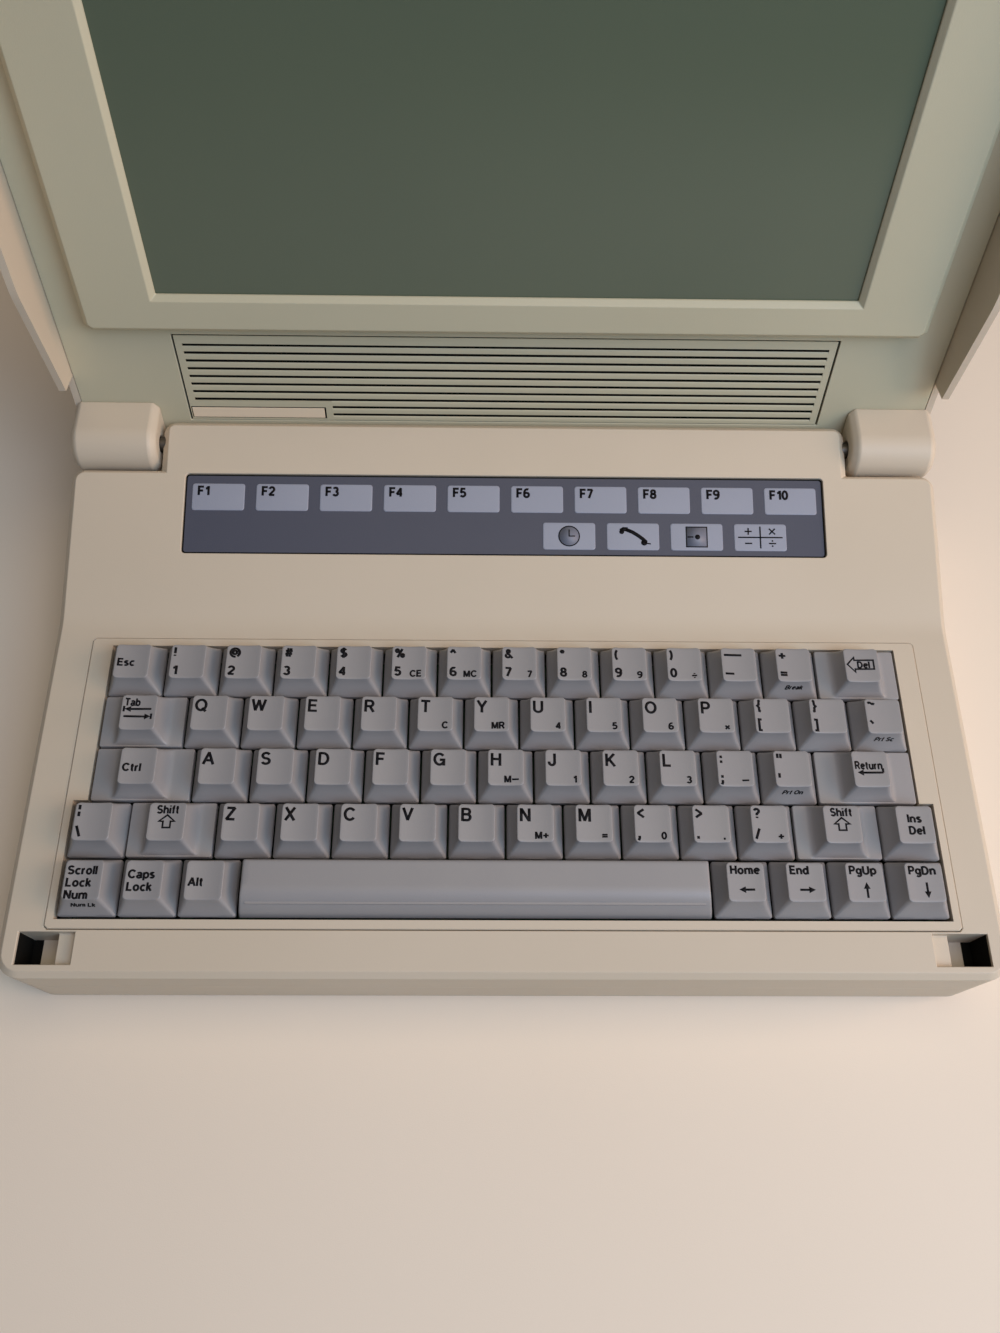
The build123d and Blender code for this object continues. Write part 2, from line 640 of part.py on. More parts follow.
def keyboard_bezel():
    """The thin frame round the keys, with a skirt that lines the opening."""
    frame = bezel_block(0, -BEZEL_SEAT, BEZEL_RISE)
    frame = chamfer(frame.faces().sort_by(Axis.Z)[-1].edges(), BEZEL_RISE / 2)
    frame += opening_block(BEZEL_SKIRT, -BEZEL_SKIRT_DEPTH, -BEZEL_SEAT)
    return frame - opening_block(0, -2 * BEZEL_SKIRT_DEPTH, 2 * BEZEL_RISE)


def foot_block(grow, height):
    """A foot's outline with cut corners, grown all round, as a solid that stands on z 0."""
    return extrude(cut_rectangle(FOOT_WIDTH + 2 * grow, FOOT_LENGTH + 2 * grow, FOOT_CORNER), height)


def rubber_feet():
    """Four oblong feet in shallow seats."""
    foot = foot_block(0, FOOT_SEAT + FOOT_STANDOFF)
    foot = chamfer(foot.faces().sort_by(Axis.Z)[0].edges(), FOOT_STANDOFF / 3)
    return [Pos(x, y, BASE_BOTTOM_Z - FOOT_STANDOFF) * foot for x, y in foot_places()]


def screw(x, y, head_z, length):
    """A screw that points up, with its head's underside at head_z."""
    head = post(x, y, head_z - SCREW_HEAD_HEIGHT, head_z, SCREW_HEAD_RADIUS)
    return head + post(x, y, head_z, head_z + length, SCREW_RADIUS)


def case_screws():
    """The screws of the case, from below, and those of the keyboard plate."""
    seat_z = BASE_BOTTOM_Z + SCREW_COUNTERBORE
    case_length = PARTING_Z + SCREW_GRIP - SCREW_END_GAP - seat_z
    plate_length = -WALL - SCREW_END_GAP - PLATE_BOTTOM_Z
    screws = [screw(x, y, seat_z, case_length) for x, y in case_screw_places()]
    screws += [screw(x, y, PLATE_BOTTOM_Z, plate_length) for x, y in keyboard_screw_places()]
    return screws


def hinge_pins():
    """The two pins that stand out of the middle part into the hinge blocks."""
    return mirrored_pair(rod_along_x(PIN_INNER_X, PIN_OUTER_X, PIVOT_Y, PIVOT_Z, PIN_RADIUS))


# Function panel


def panel_outline(grow):
    """The function panel's outline, grown all round."""
    return RectangleRounded(PANEL_WIDTH + 2 * grow, PANEL_LENGTH + 2 * grow, PANEL_CORNER_RADIUS)


def function_panel():
    """The dark membrane plate in its recess."""
    bottom = PANEL_RECESS + PANEL_THICKNESS
    return slope_slab(panel_outline(0), -PANEL_WIDTH / 2, 0, PANEL_RECESS, bottom)


def function_pad(left_x, from_front):
    """One raised pad of the membrane."""
    outline = cut_rectangle(PAD_WIDTH, PAD_LENGTH, PAD_CORNER)
    return slope_slab(outline, left_x, from_front, PANEL_RECESS - PAD_RISE, PANEL_RECESS)


def function_pads():
    """A row of ten pads and, in front of it, a row of four."""
    first_x = PANEL_END_MARGIN - PANEL_WIDTH / 2
    first_icon_x = first_x + ICON_PAD_SHIFT * PAD_PITCH
    rear_row = PANEL_FRONT_MARGIN + PAD_LENGTH + PAD_ROW_GAP
    pads = [function_pad(first_x + i * PAD_PITCH, rear_row) for i in range(PAD_COUNT)]
    pads += [
        function_pad(first_icon_x + i * PAD_PITCH, PANEL_FRONT_MARGIN) for i in range(ICON_PAD_COUNT)
    ]
    return pads


# Keyboard


def tapered_block(bottom_size, bottom_z, top_size, top_z, top_shift):
    """A block with flat sides that narrows upwards between two outlines, given as (width, depth)."""
    half_width, half_depth = bottom_size[0] / 2, bottom_size[1] / 2
    half_top_width, half_top_depth = top_size[0] / 2, top_size[1] / 2
    front = [
        (-half_width, bottom_z),
        (half_width, bottom_z),
        (half_top_width, top_z),
        (-half_top_width, top_z),
    ]
    side = [
        (-half_depth, bottom_z),
        (half_depth, bottom_z),
        (top_shift + half_top_depth, top_z),
        (top_shift - half_top_depth, top_z),
    ]
    across = extrude(Plane.XZ * side_face(front), 2 * half_depth, both=True)
    return side_prism(side_face(side), half_width) & across


def stem(x, top_z):
    """The square stem under a cap, which slides in its switch."""
    half = STEM_SIZE / 2
    return box_between(x - half, x + half, -half, half, -STEM_DEPTH, top_z)


def dish_radius():
    """Radius of the shallow trough on a cap's top."""
    half = KEY_TOP_WIDTH / 2
    return (half**2 + KEY_DISH_DEPTH**2) / (2 * KEY_DISH_DEPTH)


def dish_trough(length):
    """The room over a cap's dished top, with a few flats for its shallow curve."""
    radius = dish_radius()
    reach = asin((KEY_TOP_WIDTH / 2 + KEY_WALL) / radius)
    centre_z = KEY_TOP_HEIGHT + radius - KEY_DISH_DEPTH
    turns = [reach * (2 * step / DISH_FLATS - 1) for step in range(DISH_FLATS + 1)]
    points = [(radius * sin(turn), centre_z - radius * cos(turn)) for turn in turns]
    points += [(points[-1][0], centre_z), (points[0][0], centre_z)]
    face = Plane.XZ * make_face(Polyline(*points, close=True))
    return extrude(Pos(0, length / 2, 0) * face, length)


def keycap(width):
    """A hollow dished cap; a wide one has low wings beside a cap of normal size."""
    base = KEY_PITCH - KEY_GAP
    full = width * KEY_PITCH - KEY_GAP
    skirt_z = -KEY_SKIRT_DEPTH
    inner = base - 2 * KEY_WALL
    top = (KEY_TOP_WIDTH, KEY_TOP_DEPTH)
    inner_top = (KEY_TOP_WIDTH - 2 * KEY_WALL, KEY_TOP_DEPTH - 2 * KEY_WALL)
    roof_z = KEY_TOP_HEIGHT - KEY_DISH_DEPTH - KEY_ROOF
    cap = tapered_block((base, base), skirt_z, top, KEY_TOP_HEIGHT, KEY_TOP_SHIFT)
    hollow = tapered_block((inner, inner), skirt_z, inner_top, roof_z, KEY_TOP_SHIFT)
    if width > 1:
        half = full / 2
        cap += box_between(-half, half, -base / 2, base / 2, skirt_z, KEY_WING_HEIGHT)
        room = half - KEY_WALL
        hollow += box_between(-room, room, -inner / 2, inner / 2, skirt_z, KEY_WING_HEIGHT - KEY_WALL)
    return cap - hollow - dish_trough(2 * base) + stem(0, roof_z)


def space_bar(width):
    """The long bar: a flat top that rounds over to a sloping front, hollow, on three stems."""
    half_depth = (KEY_PITCH - KEY_GAP) / 2
    half_width = (width * KEY_PITCH - KEY_GAP) / 2
    skirt_z = -KEY_SKIRT_DEPTH
    nose_y = -half_depth / 3
    face = side_face(
        [
            (-half_depth, skirt_z),
            (-half_depth + KEY_GAP, SPACE_FRONT_HEIGHT),
            (nose_y, SPACE_TOP_HEIGHT),
            (half_depth - 2 * KEY_GAP, SPACE_TOP_HEIGHT),
            (half_depth, skirt_z),
        ]
    )
    face = fillet(nearest_corner(face, nose_y, SPACE_TOP_HEIGHT), SPACE_NOSE_RADIUS)
    ends = [
        (-half_width, skirt_z),
        (half_width, skirt_z),
        (half_width - 2 * KEY_GAP, SPACE_TOP_HEIGHT),
        (-half_width + 2 * KEY_GAP, SPACE_TOP_HEIGHT),
    ]
    taper = extrude(Plane.XZ * make_face(Polyline(*ends, close=True)), 2 * half_depth, both=True)
    bar = side_prism(face, half_width) & taper
    roof_z = SPACE_TOP_HEIGHT - KEY_ROOF
    room_front = -half_depth + 2 * KEY_WALL
    room_face = side_face(
        [
            (room_front, skirt_z),
            (room_front, SPACE_FRONT_HEIGHT - KEY_WALL),
            (nose_y + KEY_WALL, roof_z),
            (half_depth - 2 * KEY_WALL, roof_z),
            (half_depth - KEY_WALL, skirt_z),
        ]
    )
    bar -= side_prism(room_face, half_width - 2 * KEY_WALL)
    for x in stabiliser_places():
        bar += stem(x, roof_z)
    return bar


def stabiliser_places():
    """Where the space bar's three stems stand, from its middle."""
    reach = SPACE_STABILISER_PITCHES * KEY_PITCH
    return [-reach, 0, reach]


def key_solids():
    """Every key's solid in its place, by name."""
    shapes = {}
    keys = {}
    for name, x, y, width in key_places():
        if width not in shapes:
            shapes[width] = space_bar(width) if name == "space" else keycap(width)
        keys[name] = Pos(x, y, 0) * shapes[width]
    return keys


def switch_places():
    """Where the switch housings sit: one per key, and two more that guide the space bar."""
    places = [(x, y) for name, x, y, _ in key_places() if name != "space"]
    for name, x, y, _ in key_places():
        if name == "space":
            places += [(x + reach, y) for reach in stabiliser_places()]
    return places


def key_switches():
    """Housings with a square blind hole that guides the stem."""
    half = SWITCH_SIZE / 2
    hole = KEY_HOLE_SIZE / 2
    housing = box_between(-half, half, -half, half, SWITCH_BOTTOM_Z, -SWITCH_TOP_DEPTH)
    housing -= box_between(-hole, hole, -hole, hole, SWITCH_BOTTOM_Z + SWITCH_FLOOR, 0)
    return [Pos(x, y, 0) * housing for x, y in switch_places()]


def keyboard_plate():
    """The stiff plate under the switches' board, which hangs from the deck by screws."""
    half = KEYBOARD_WIDTH / 2
    ears = PLATE_BOSS_X + PLATE_OVERHANG
    plate = box_between(-half, half, 0, OPENING_REAR_Y, PLATE_BOTTOM_Z, PLATE_TOP_Z)
    plate += box_between(
        -ears, ears, -PLATE_OVERHANG, OPENING_REAR_Y + PLATE_OVERHANG, PLATE_BOTTOM_Z, PLATE_TOP_Z
    )
    for x, y in keyboard_screw_places():
        plate -= post(x, y, PLATE_BOTTOM_Z, PLATE_TOP_Z, SCREW_RADIUS)
    return plate


def keyboard_board():
    """The circuit board that the switches are soldered to."""
    half = KEYBOARD_WIDTH / 2
    return box_between(-half, half, 0, OPENING_REAR_Y, PLATE_TOP_Z, SWITCH_BOTTOM_Z)


# Inside the base


def board_standoff_places():
    """Where the main board rests, as (x, y)."""
    x = BOARD_WIDTH / 2 - 2 * STANDOFF_RADIUS
    rear_y = BOARD_REAR_Y - 2 * STANDOFF_RADIUS
    front_y = BOARD_REAR_Y - BOARD_LENGTH + 2 * STANDOFF_RADIUS
    return [(side * x, y) for side in (-1, 0, 1) for y in (front_y, rear_y)]


def main_board():
    """The main circuit board with a row of chips."""
    half = BOARD_WIDTH / 2
    front_y = BOARD_REAR_Y - BOARD_LENGTH
    board = box_between(
        -half, half, front_y, BOARD_REAR_Y, BOARD_TOP_Z - BOARD_THICKNESS, BOARD_TOP_Z
    )
    middle_y = BOARD_REAR_Y - BOARD_LENGTH / 2
    for index in range(CHIP_COUNT):
        x = (index - (CHIP_COUNT - 1) / 2) * CHIP_PITCH
        board += box_between(
            x - CHIP_WIDTH / 2,
            x + CHIP_WIDTH / 2,
            middle_y - CHIP_LENGTH / 2,
            middle_y + CHIP_LENGTH / 2,
            BOARD_TOP_Z,
            BOARD_TOP_Z + CHIP_HEIGHT,
        )
    return board


def battery_pack():
    """The wrapped cells on the floor in front of the main board."""
    front_y = BASE_FRONT_Y + WALL + BATTERY_FRONT_GAP
    middle = (0, front_y + BATTERY_LENGTH / 2, FLOOR_Z + BATTERY_HEIGHT / 2)
    outline = RectangleRounded(BATTERY_LENGTH, BATTERY_HEIGHT, BATTERY_CORNER_RADIUS)
    return extrude(Pos(*middle) * (Plane.YZ * outline), BATTERY_WIDTH / 2, both=True)


def rear_connectors():
    """Two slanted sockets and a round power jack on the main board's rear edge."""
    rear_y = REAR_WALL_Y + PORT_PROUD
    sockets = [
        port_body(x, width, slant, 0, rear_y - PORT_DEPTH, rear_y) for x, width, slant in port_outlines()
    ]
    jack_z = BOARD_TOP_Z + PORT_HEIGHT / 2
    bore = Pos(POWER_JACK_X, rear_y, jack_z) * (Plane.XZ * Circle(POWER_JACK_BORE_RADIUS))
    sockets[-1] -= extrude(bore, POWER_JACK_BORE_DEPTH)
    return sockets


def power_switch():
    """The slider of the power switch, with the plate that keeps it behind the wall."""
    outer_x = HALF_BASE - WALL - SWITCH_KNOB_GAP
    half_height = SWITCH_PLATE_HEIGHT / 2
    plate = box_between(
        outer_x - SWITCH_PLATE_THICKNESS,
        outer_x,
        SWITCH_KNOB_Y - SWITCH_PLATE_LENGTH / 2,
        SWITCH_KNOB_Y + SWITCH_PLATE_LENGTH / 2,
        SWITCH_KNOB_Z - half_height,
        SWITCH_KNOB_Z + half_height,
    )
    return plate + power_knob(0, 0, -SWITCH_KNOB_SET_BACK)


# Lid, drawn closed over the base


def lid_outer():
    """The closed lid's outside: a top, and rims at the front and sides that come down to the deck."""
    rim_end_y = PIVOT_Y - RIM_START
    face = side_face(
        [
            (BASE_FRONT_Y, LID_GAP),
            (BASE_FRONT_Y, LID_TOP_Z),
            (LID_REAR_Y, LID_TOP_Z),
            (LID_REAR_Y, LID_FACE_Z),
            (rim_end_y, LID_FACE_Z),
            (rim_end_y, rear_deck_z(rim_end_y) + LID_GAP),
            (BEND_Y, LID_GAP),
        ]
    )
    face = fillet(nearest_corner(face, BEND_Y, LID_GAP), BEND_RADIUS)
    body = side_prism(face, HALF_BASE)
    body = body & plan_slab(
        BASE_WIDTH, BASE_FRONT_Y, LID_REAR_Y, 0, LID_TOP_Z, BASE_CORNER_RADIUS
    )
    return chamfer(body.faces().sort_by(Axis.Z)[-1].edges(), LID_EDGE)


def lid_post_places():
    """Posts of the lid cover: at the bezel's corners and behind the display, as (x, y, z_from)."""
    x = HALF_BASE - LID_WALL - 2 * LID_POST_RADIUS
    rear_y = LID_REAR_Y - LID_WALL - 2 * LID_POST_RADIUS
    bezel_back_z = LID_FACE_Z + LID_BEZEL_THICKNESS
    posts = [(side * x, rear_y, bezel_back_z) for side in (-1, 0, 1)]
    screen_x = WINDOW_WIDTH / 2 - LID_POST_RADIUS
    screen_back_z = DISPLAY_FACE_Z + LID_WALL + SCREEN_THICKNESS
    for side in (-1, 1):
        for up in (-1, 1):
            reach = WINDOW_HEIGHT / 2 - LID_POST_RADIUS
            posts.append((side * screen_x, window_middle_y() + up * reach, screen_back_z))
    return posts


def window_middle_y():
    """Middle of the screen window on the closed lid."""
    return PIVOT_Y - (DISPLAY_START + DISPLAY_END) / 2


def latch_x():
    """Middle of the right latch's slider in its open position."""
    toe_tip = POCKET_INNER_X + POCKET_LEDGE + LATCH_SIDE_GAP
    return toe_tip + LATCH_TOE + LATCH_SHANK_WIDTH / 2 - LATCH_SLIDER_OFFSET


def latch_slot():
    """The slot in the lid's front rim for the right latch's thumb piece."""
    middle_z = (LATCH_SLIDER_BOTTOM + LATCH_SLIDER_TOP) / 2
    half = LATCH_THUMB_WIDTH / 2 + LATCH_FIT
    return box_between(
        latch_x() - half - LATCH_TRAVEL,
        latch_x() + half,
        BASE_FRONT_Y - LID_WALL,
        BASE_FRONT_Y + 2 * LID_WALL,
        middle_z - LATCH_THUMB_HEIGHT / 2 - LATCH_FIT,
        middle_z + LATCH_THUMB_HEIGHT / 2 + LATCH_FIT,
    )


def latch_rail():
    """The rail on the inside of the front rim that the right latch slides along."""
    half = LATCH_SLIDER_WIDTH / 2
    return box_between(
        latch_x() - half - LATCH_TRAVEL,
        latch_x() + half,
        BASE_FRONT_Y + LID_WALL / 2,
        BASE_FRONT_Y + LID_WALL + LATCH_FIT + LATCH_SLIDER_THICKNESS,
        LATCH_SLIDER_TOP + LATCH_FIT,
        LATCH_SLIDER_TOP + LATCH_FIT + LATCH_RAIL_THICKNESS,
    )


def lid_cover():
    """The lid's back, rims, rear wall, inner posts and latch rails."""
    hollow = box_between(
        -HALF_BASE + LID_WALL,
        HALF_BASE - LID_WALL,
        BASE_FRONT_Y + LID_WALL,
        LID_REAR_Y - LID_WALL,
        -WALL,
        LID_TOP_Z - LID_WALL,
    )
    cover = lid_outer() - hollow
    for x, y, z_from in lid_post_places():
        cover += post(x, y, z_from, LID_TOP_Z - LID_WALL / 2, LID_POST_RADIUS)
    for side in mirrored_pair(latch_rail()):
        cover += side
    for side in mirrored_pair(latch_slot()):
        cover -= side
    return cover


def display_frame(shrink, z_from, z_to):
    """The raised frame round the display, or the room inside it."""
    front_y = PIVOT_Y - DISPLAY_END + shrink
    rear_y = PIVOT_Y - DISPLAY_START - shrink
    outline = cut_rectangle(DISPLAY_FRAME_WIDTH - 2 * shrink, rear_y - front_y, DISPLAY_FRAME_CORNER)
    return extrude(Pos(0, (front_y + rear_y) / 2, z_from) * outline, z_to - z_from)


def window_block(grow, z_from, z_to):
    """The screen window's outline, grown all round, as a solid."""
    half_width = WINDOW_WIDTH / 2 + grow
    half_height = WINDOW_HEIGHT / 2 + grow
    middle = window_middle_y()
    return box_between(
        -half_width, half_width, middle - half_height, middle + half_height, z_from, z_to
    )


def rib_panel_slab(grow, z_from, z_to):
    """The ribbed panel's outline on the closed lid, grown all round, as a solid."""
    half = RIB_PANEL_WIDTH / 2 + grow
    rear_y = PIVOT_Y - RIB_PANEL_START + grow
    front_y = PIVOT_Y - RIB_PANEL_START - RIB_PANEL_LENGTH - grow
    return box_between(-half, half, front_y, rear_y, z_from, z_to)


def lid_bezel():
    """The lid's inner face: a plate with a raised display frame and a seat for the ribbed panel."""
    inset = LID_WALL + LID_FIT
    half = HALF_BASE - inset
    back_z = LID_FACE_Z + LID_BEZEL_THICKNESS
    plate = box_between(
        -half, half, BASE_FRONT_Y + inset, LID_REAR_Y - inset, LID_FACE_Z, back_z
    )
    frame = display_frame(0, DISPLAY_FACE_Z, LID_FACE_Z + LID_BEZEL_THICKNESS / 2)
    frame = chamfer(frame.faces().sort_by(Axis.Z)[0].edges(), DISPLAY_FRAME_BEVEL)
    bezel = plate + frame - display_frame(LID_WALL, DISPLAY_FACE_Z + LID_WALL, back_z)
    window = window_block(0, DISPLAY_FACE_Z - LID_WALL, DISPLAY_FACE_Z + 2 * LID_WALL)
    outer = Pos(0, window_middle_y(), DISPLAY_FACE_Z) * Rectangle(
        WINDOW_WIDTH + 2 * WINDOW_BEVEL, WINDOW_HEIGHT + 2 * WINDOW_BEVEL
    )
    inner = Pos(0, window_middle_y(), DISPLAY_FACE_Z + WINDOW_BEVEL) * Rectangle(
        WINDOW_WIDTH, WINDOW_HEIGHT
    )
    bezel = bezel - window - loft([outer, inner], ruled=True)
    seat = rib_panel_slab(RIB_PANEL_GAP, LID_FACE_Z, LID_FACE_Z + RIB_PANEL_THICKNESS)
    return bezel - seat


def display_panel():
    """The display module behind the window."""
    front_z = DISPLAY_FACE_Z + LID_WALL
    return window_block(SCREEN_BORDER, front_z, front_z + SCREEN_THICKNESS)


def ribbed_panel():
    """The panel with fine grooves across it, and a bare seat for the badge plate."""
    panel = rib_panel_slab(0, LID_FACE_Z, LID_FACE_Z + RIB_PANEL_THICKNESS)
    half = RIB_PANEL_WIDTH / 2 - RIB_END_MARGIN
    badge_end_x = -RIB_PANEL_WIDTH / 2 + BADGE_MARGIN + BADGE_WIDTH
    badge_top = BADGE_MARGIN + BADGE_HEIGHT
    count = int((RIB_PANEL_LENGTH - RIB_PITCH / 2) / RIB_PITCH)
    grooves = []
    for index in range(count):
        up = RIB_PITCH * (index + 0.75)
        start_x = badge_end_x + BADGE_GROOVE_GAP if up < badge_top + RIB_GROOVE else -half
        y = PIVOT_Y - RIB_PANEL_START - up
        grooves.append(
            box_between(
                start_x,
                half,
                y - RIB_GROOVE / 2,
                y + RIB_GROOVE / 2,
                LID_FACE_Z,
                LID_FACE_Z + RIB_GROOVE_DEPTH,
            )
        )
    return panel - grooves - badge_block(RIB_PANEL_GAP)


def badge_block(grow):
    """The bare badge plate's outline at the lower left of the ribbed panel."""
    left_x = -RIB_PANEL_WIDTH / 2 + BADGE_MARGIN - grow
    rear_y = PIVOT_Y - RIB_PANEL_START - BADGE_MARGIN + grow
    return box_between(
        left_x,
        left_x + BADGE_WIDTH + 2 * grow,
        rear_y - BADGE_HEIGHT - 2 * grow,
        rear_y,
        LID_FACE_Z,
        LID_FACE_Z + BADGE_THICKNESS,
    )


def hinge_block():
    """The right hinge block: a barrel round the pivot that grows into the lid's inner face.

    Its front side leans so that it lies level when the lid stands open.
    """
    lean = radians(LID_OPEN_ANGLE - 90)
    high_z = LID_FACE_Z + 2 * KNUCKLE_RADIUS
    touch = (PIVOT_Y - KNUCKLE_RADIUS * cos(lean), PIVOT_Z - KNUCKLE_RADIUS * sin(lean))
    bottom = (PIVOT_Y, PIVOT_Z - KNUCKLE_RADIUS)
    rear = (PIVOT_Y + KNUCKLE_RADIUS, PIVOT_Z)
    front_top = (touch[0] - (high_z - touch[1]) * tan(lean), high_z)
    rear_top = (PIVOT_Y + KNUCKLE_RADIUS, high_z)
    outline = Line(front_top, touch) + ThreePointArc(touch, bottom, rear)
    outline += Line(rear, rear_top) + Line(rear_top, front_top)
    face = Pos(KNUCKLE_INNER_X, 0, 0) * (Plane.YZ * make_face(outline))
    block = extrude(face, HALF_BASE - KNUCKLE_INNER_X)
    block = chamfer(block.faces().filter_by(Axis.X).edges(), KNUCKLE_EDGE)
    block -= box_between(
        KNUCKLE_INNER_X,
        HALF_BASE,
        front_top[0],
        rear[0],
        LID_FACE_Z,
        high_z,
    )
    bore_end = PIN_OUTER_X + PIN_END_GAP
    return block - rod_along_x(
        KNUCKLE_INNER_X, bore_end, PIVOT_Y, PIVOT_Z, PIN_RADIUS + PIN_RUNNING_GAP
    )


def latch():
    """The right latch: a slider behind the front rim, a thumb piece, and a hook that hangs down."""
    front_y = BASE_FRONT_Y + LID_WALL + LATCH_FIT
    rear_y = front_y + LATCH_SLIDER_THICKNESS
    half = LATCH_SLIDER_WIDTH / 2
    middle_z = (LATCH_SLIDER_BOTTOM + LATCH_SLIDER_TOP) / 2
    slider = box_between(
        latch_x() - half, latch_x() + half, front_y, rear_y, LATCH_SLIDER_BOTTOM, LATCH_SLIDER_TOP
    )
    thumb = box_between(
        latch_x() - LATCH_THUMB_WIDTH / 2,
        latch_x() + LATCH_THUMB_WIDTH / 2,
        BASE_FRONT_Y - LATCH_THUMB_RISE,
        front_y,
        middle_z - LATCH_THUMB_HEIGHT / 2,
        middle_z + LATCH_THUMB_HEIGHT / 2,
    )
    toe_tip_x = POCKET_INNER_X + POCKET_LEDGE + LATCH_SIDE_GAP
    shank_x = toe_tip_x + LATCH_TOE
    toe_top_z = -POCKET_LEDGE_DEPTH - POCKET_LEDGE_THICKNESS - LATCH_TOE_GAP
    toe_bottom_z = toe_top_z - LATCH_TOE_HEIGHT
    hook_front_y = rear_y - LATCH_THICKNESS
    shank = box_between(
        shank_x, shank_x + LATCH_SHANK_WIDTH, hook_front_y, rear_y, toe_bottom_z, LATCH_SLIDER_BOTTOM
    )
    toe = box_between(toe_tip_x, shank_x, hook_front_y, rear_y, toe_bottom_z, toe_top_z)
    return slider + thumb + shank + toe


# All the pieces, by node name


def key_nodes():
    """The keys' nodes: most stand alone, and three groups share one each."""
    groups = {"number_keys": NUMBER_KEYS, "symbol_keys": SYMBOL_KEYS, "command_keys": COMMAND_KEYS}
    keys = key_solids()
    nodes = {}
    grouped = set()
    for node, names in groups.items():
        nodes[node] = [keys[name] for name in names]
        grouped.update(names)
    for name, solid in keys.items():
        if name not in grouped:
            nodes["key_" + name] = [solid]
    return nodes


def base_nodes():
    """The pieces of the base."""
    return {
        "base_lower_shell": [base_lower_shell()],
        "base_upper_shell": [base_upper_shell()],
        "keyboard_bezel": [keyboard_bezel()],
        "function_panel": [function_panel()],
        "function_pads": function_pads(),
        "keyboard_plate": [keyboard_plate()],
        "keyboard_board": [keyboard_board()],
        "key_switches": key_switches(),
        "main_board": [main_board()],
        "battery_pack": [battery_pack()],
        "rear_connectors": rear_connectors(),
        "power_switch": [power_switch()],
        "rubber_feet": rubber_feet(),
        "case_screws": case_screws(),
        "hinge_pins": hinge_pins(),
    }


def lid_nodes():
    """The pieces that turn with the lid, opened."""
    right_block, left_block = mirrored_pair(hinge_block())
    right_latch, left_latch = mirrored_pair(latch())
    closed = {
        "lid_cover": lid_cover(),
        "lid_bezel": lid_bezel(),
        "display_panel": display_panel(),
        "ribbed_panel": ribbed_panel(),
        "badge_plate": badge_block(0),
        "right_hinge_block": right_block,
        "left_hinge_block": left_block,
        "right_latch": right_latch,
        "left_latch": left_latch,
    }
    return {name: [opened(shape)] for name, shape in closed.items()}


def main():
    os.makedirs("parts", exist_ok=True)
    nodes = {**base_nodes(), **lid_nodes(), **key_nodes()}
    front_y = nodes["base_lower_shell"][0].bounding_box().min.Y
    rear_y = nodes["lid_cover"][0].bounding_box().max.Y
    to_table = Pos(0, -(front_y + rear_y) / 2, FOOT_STANDOFF - BASE_BOTTOM_Z)
    print("row origin from the deck frame:", -(front_y + rear_y) / 2, FOOT_STANDOFF - BASE_BOTTOM_Z)
    for name, shapes in nodes.items():
        solids = [solid for shape in shapes for solid in (to_table * shape).solids()]
        export_step(Compound(children=solids), "parts/" + name + ".step")


main()
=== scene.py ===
import json
import math
import bpy
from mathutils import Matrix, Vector


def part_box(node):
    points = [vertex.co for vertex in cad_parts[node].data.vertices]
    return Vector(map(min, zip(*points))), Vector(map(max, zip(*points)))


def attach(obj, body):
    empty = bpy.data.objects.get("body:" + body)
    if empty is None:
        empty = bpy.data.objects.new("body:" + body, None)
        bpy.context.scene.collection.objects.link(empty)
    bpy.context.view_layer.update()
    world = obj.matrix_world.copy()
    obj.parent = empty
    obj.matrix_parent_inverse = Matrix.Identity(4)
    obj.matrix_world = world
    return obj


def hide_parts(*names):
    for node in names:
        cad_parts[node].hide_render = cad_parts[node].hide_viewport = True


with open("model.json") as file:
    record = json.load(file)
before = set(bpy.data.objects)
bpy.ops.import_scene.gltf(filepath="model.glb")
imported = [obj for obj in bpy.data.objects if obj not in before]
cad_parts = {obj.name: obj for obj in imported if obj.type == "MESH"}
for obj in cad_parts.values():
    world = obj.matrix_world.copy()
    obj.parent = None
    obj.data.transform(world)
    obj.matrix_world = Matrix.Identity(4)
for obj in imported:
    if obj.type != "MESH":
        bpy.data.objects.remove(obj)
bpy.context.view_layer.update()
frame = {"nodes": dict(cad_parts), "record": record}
nodes = frame["nodes"]

# The deck frame: x across from the middle, y back from the front of the key opening, z up from the deck

bezel_low, bezel_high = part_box("keyboard_bezel")
BEZEL_END = 0.0029
BEZEL_RISE = 0.0005
OPENING_Y = bezel_low.y + BEZEL_END
DECK_Z = bezel_high.z - BEZEL_RISE


def place(x, y, z):
    """A point of the deck frame, in millimetres, as a point of the row frame, in metres."""
    return Vector((x / 1000, OPENING_Y + y / 1000, DECK_Z + z / 1000))


# Camera, fitted to the key rows and the corners of the key opening

LENS = 29.48
CAMERA_PLACE = (-7.12, -73.09, 349.72)
CAMERA_TURN = (24.91, -0.86, -0.02)

camera_data = bpy.data.cameras.new("camera")
camera_data.lens = LENS
camera_data.sensor_width = 36
camera = bpy.data.objects.new("camera", camera_data)
camera.location = place(*CAMERA_PLACE)
camera.rotation_euler = [math.radians(degrees) for degrees in CAMERA_TURN]
bpy.context.scene.collection.objects.link(camera)
bpy.context.scene.camera = camera

# Materials


def linear(red, green, blue):
    """A colour given as it shows on a screen, 0 to 255, as the linear colour that the shader takes."""
    values = []
    for value in (red, green, blue):
        value /= 255
        values.append(value / 12.92 if value <= 0.04045 else ((value + 0.055) / 1.055) ** 2.4)
    return (*values, 1)


GLOSS_SPREAD = 0.08


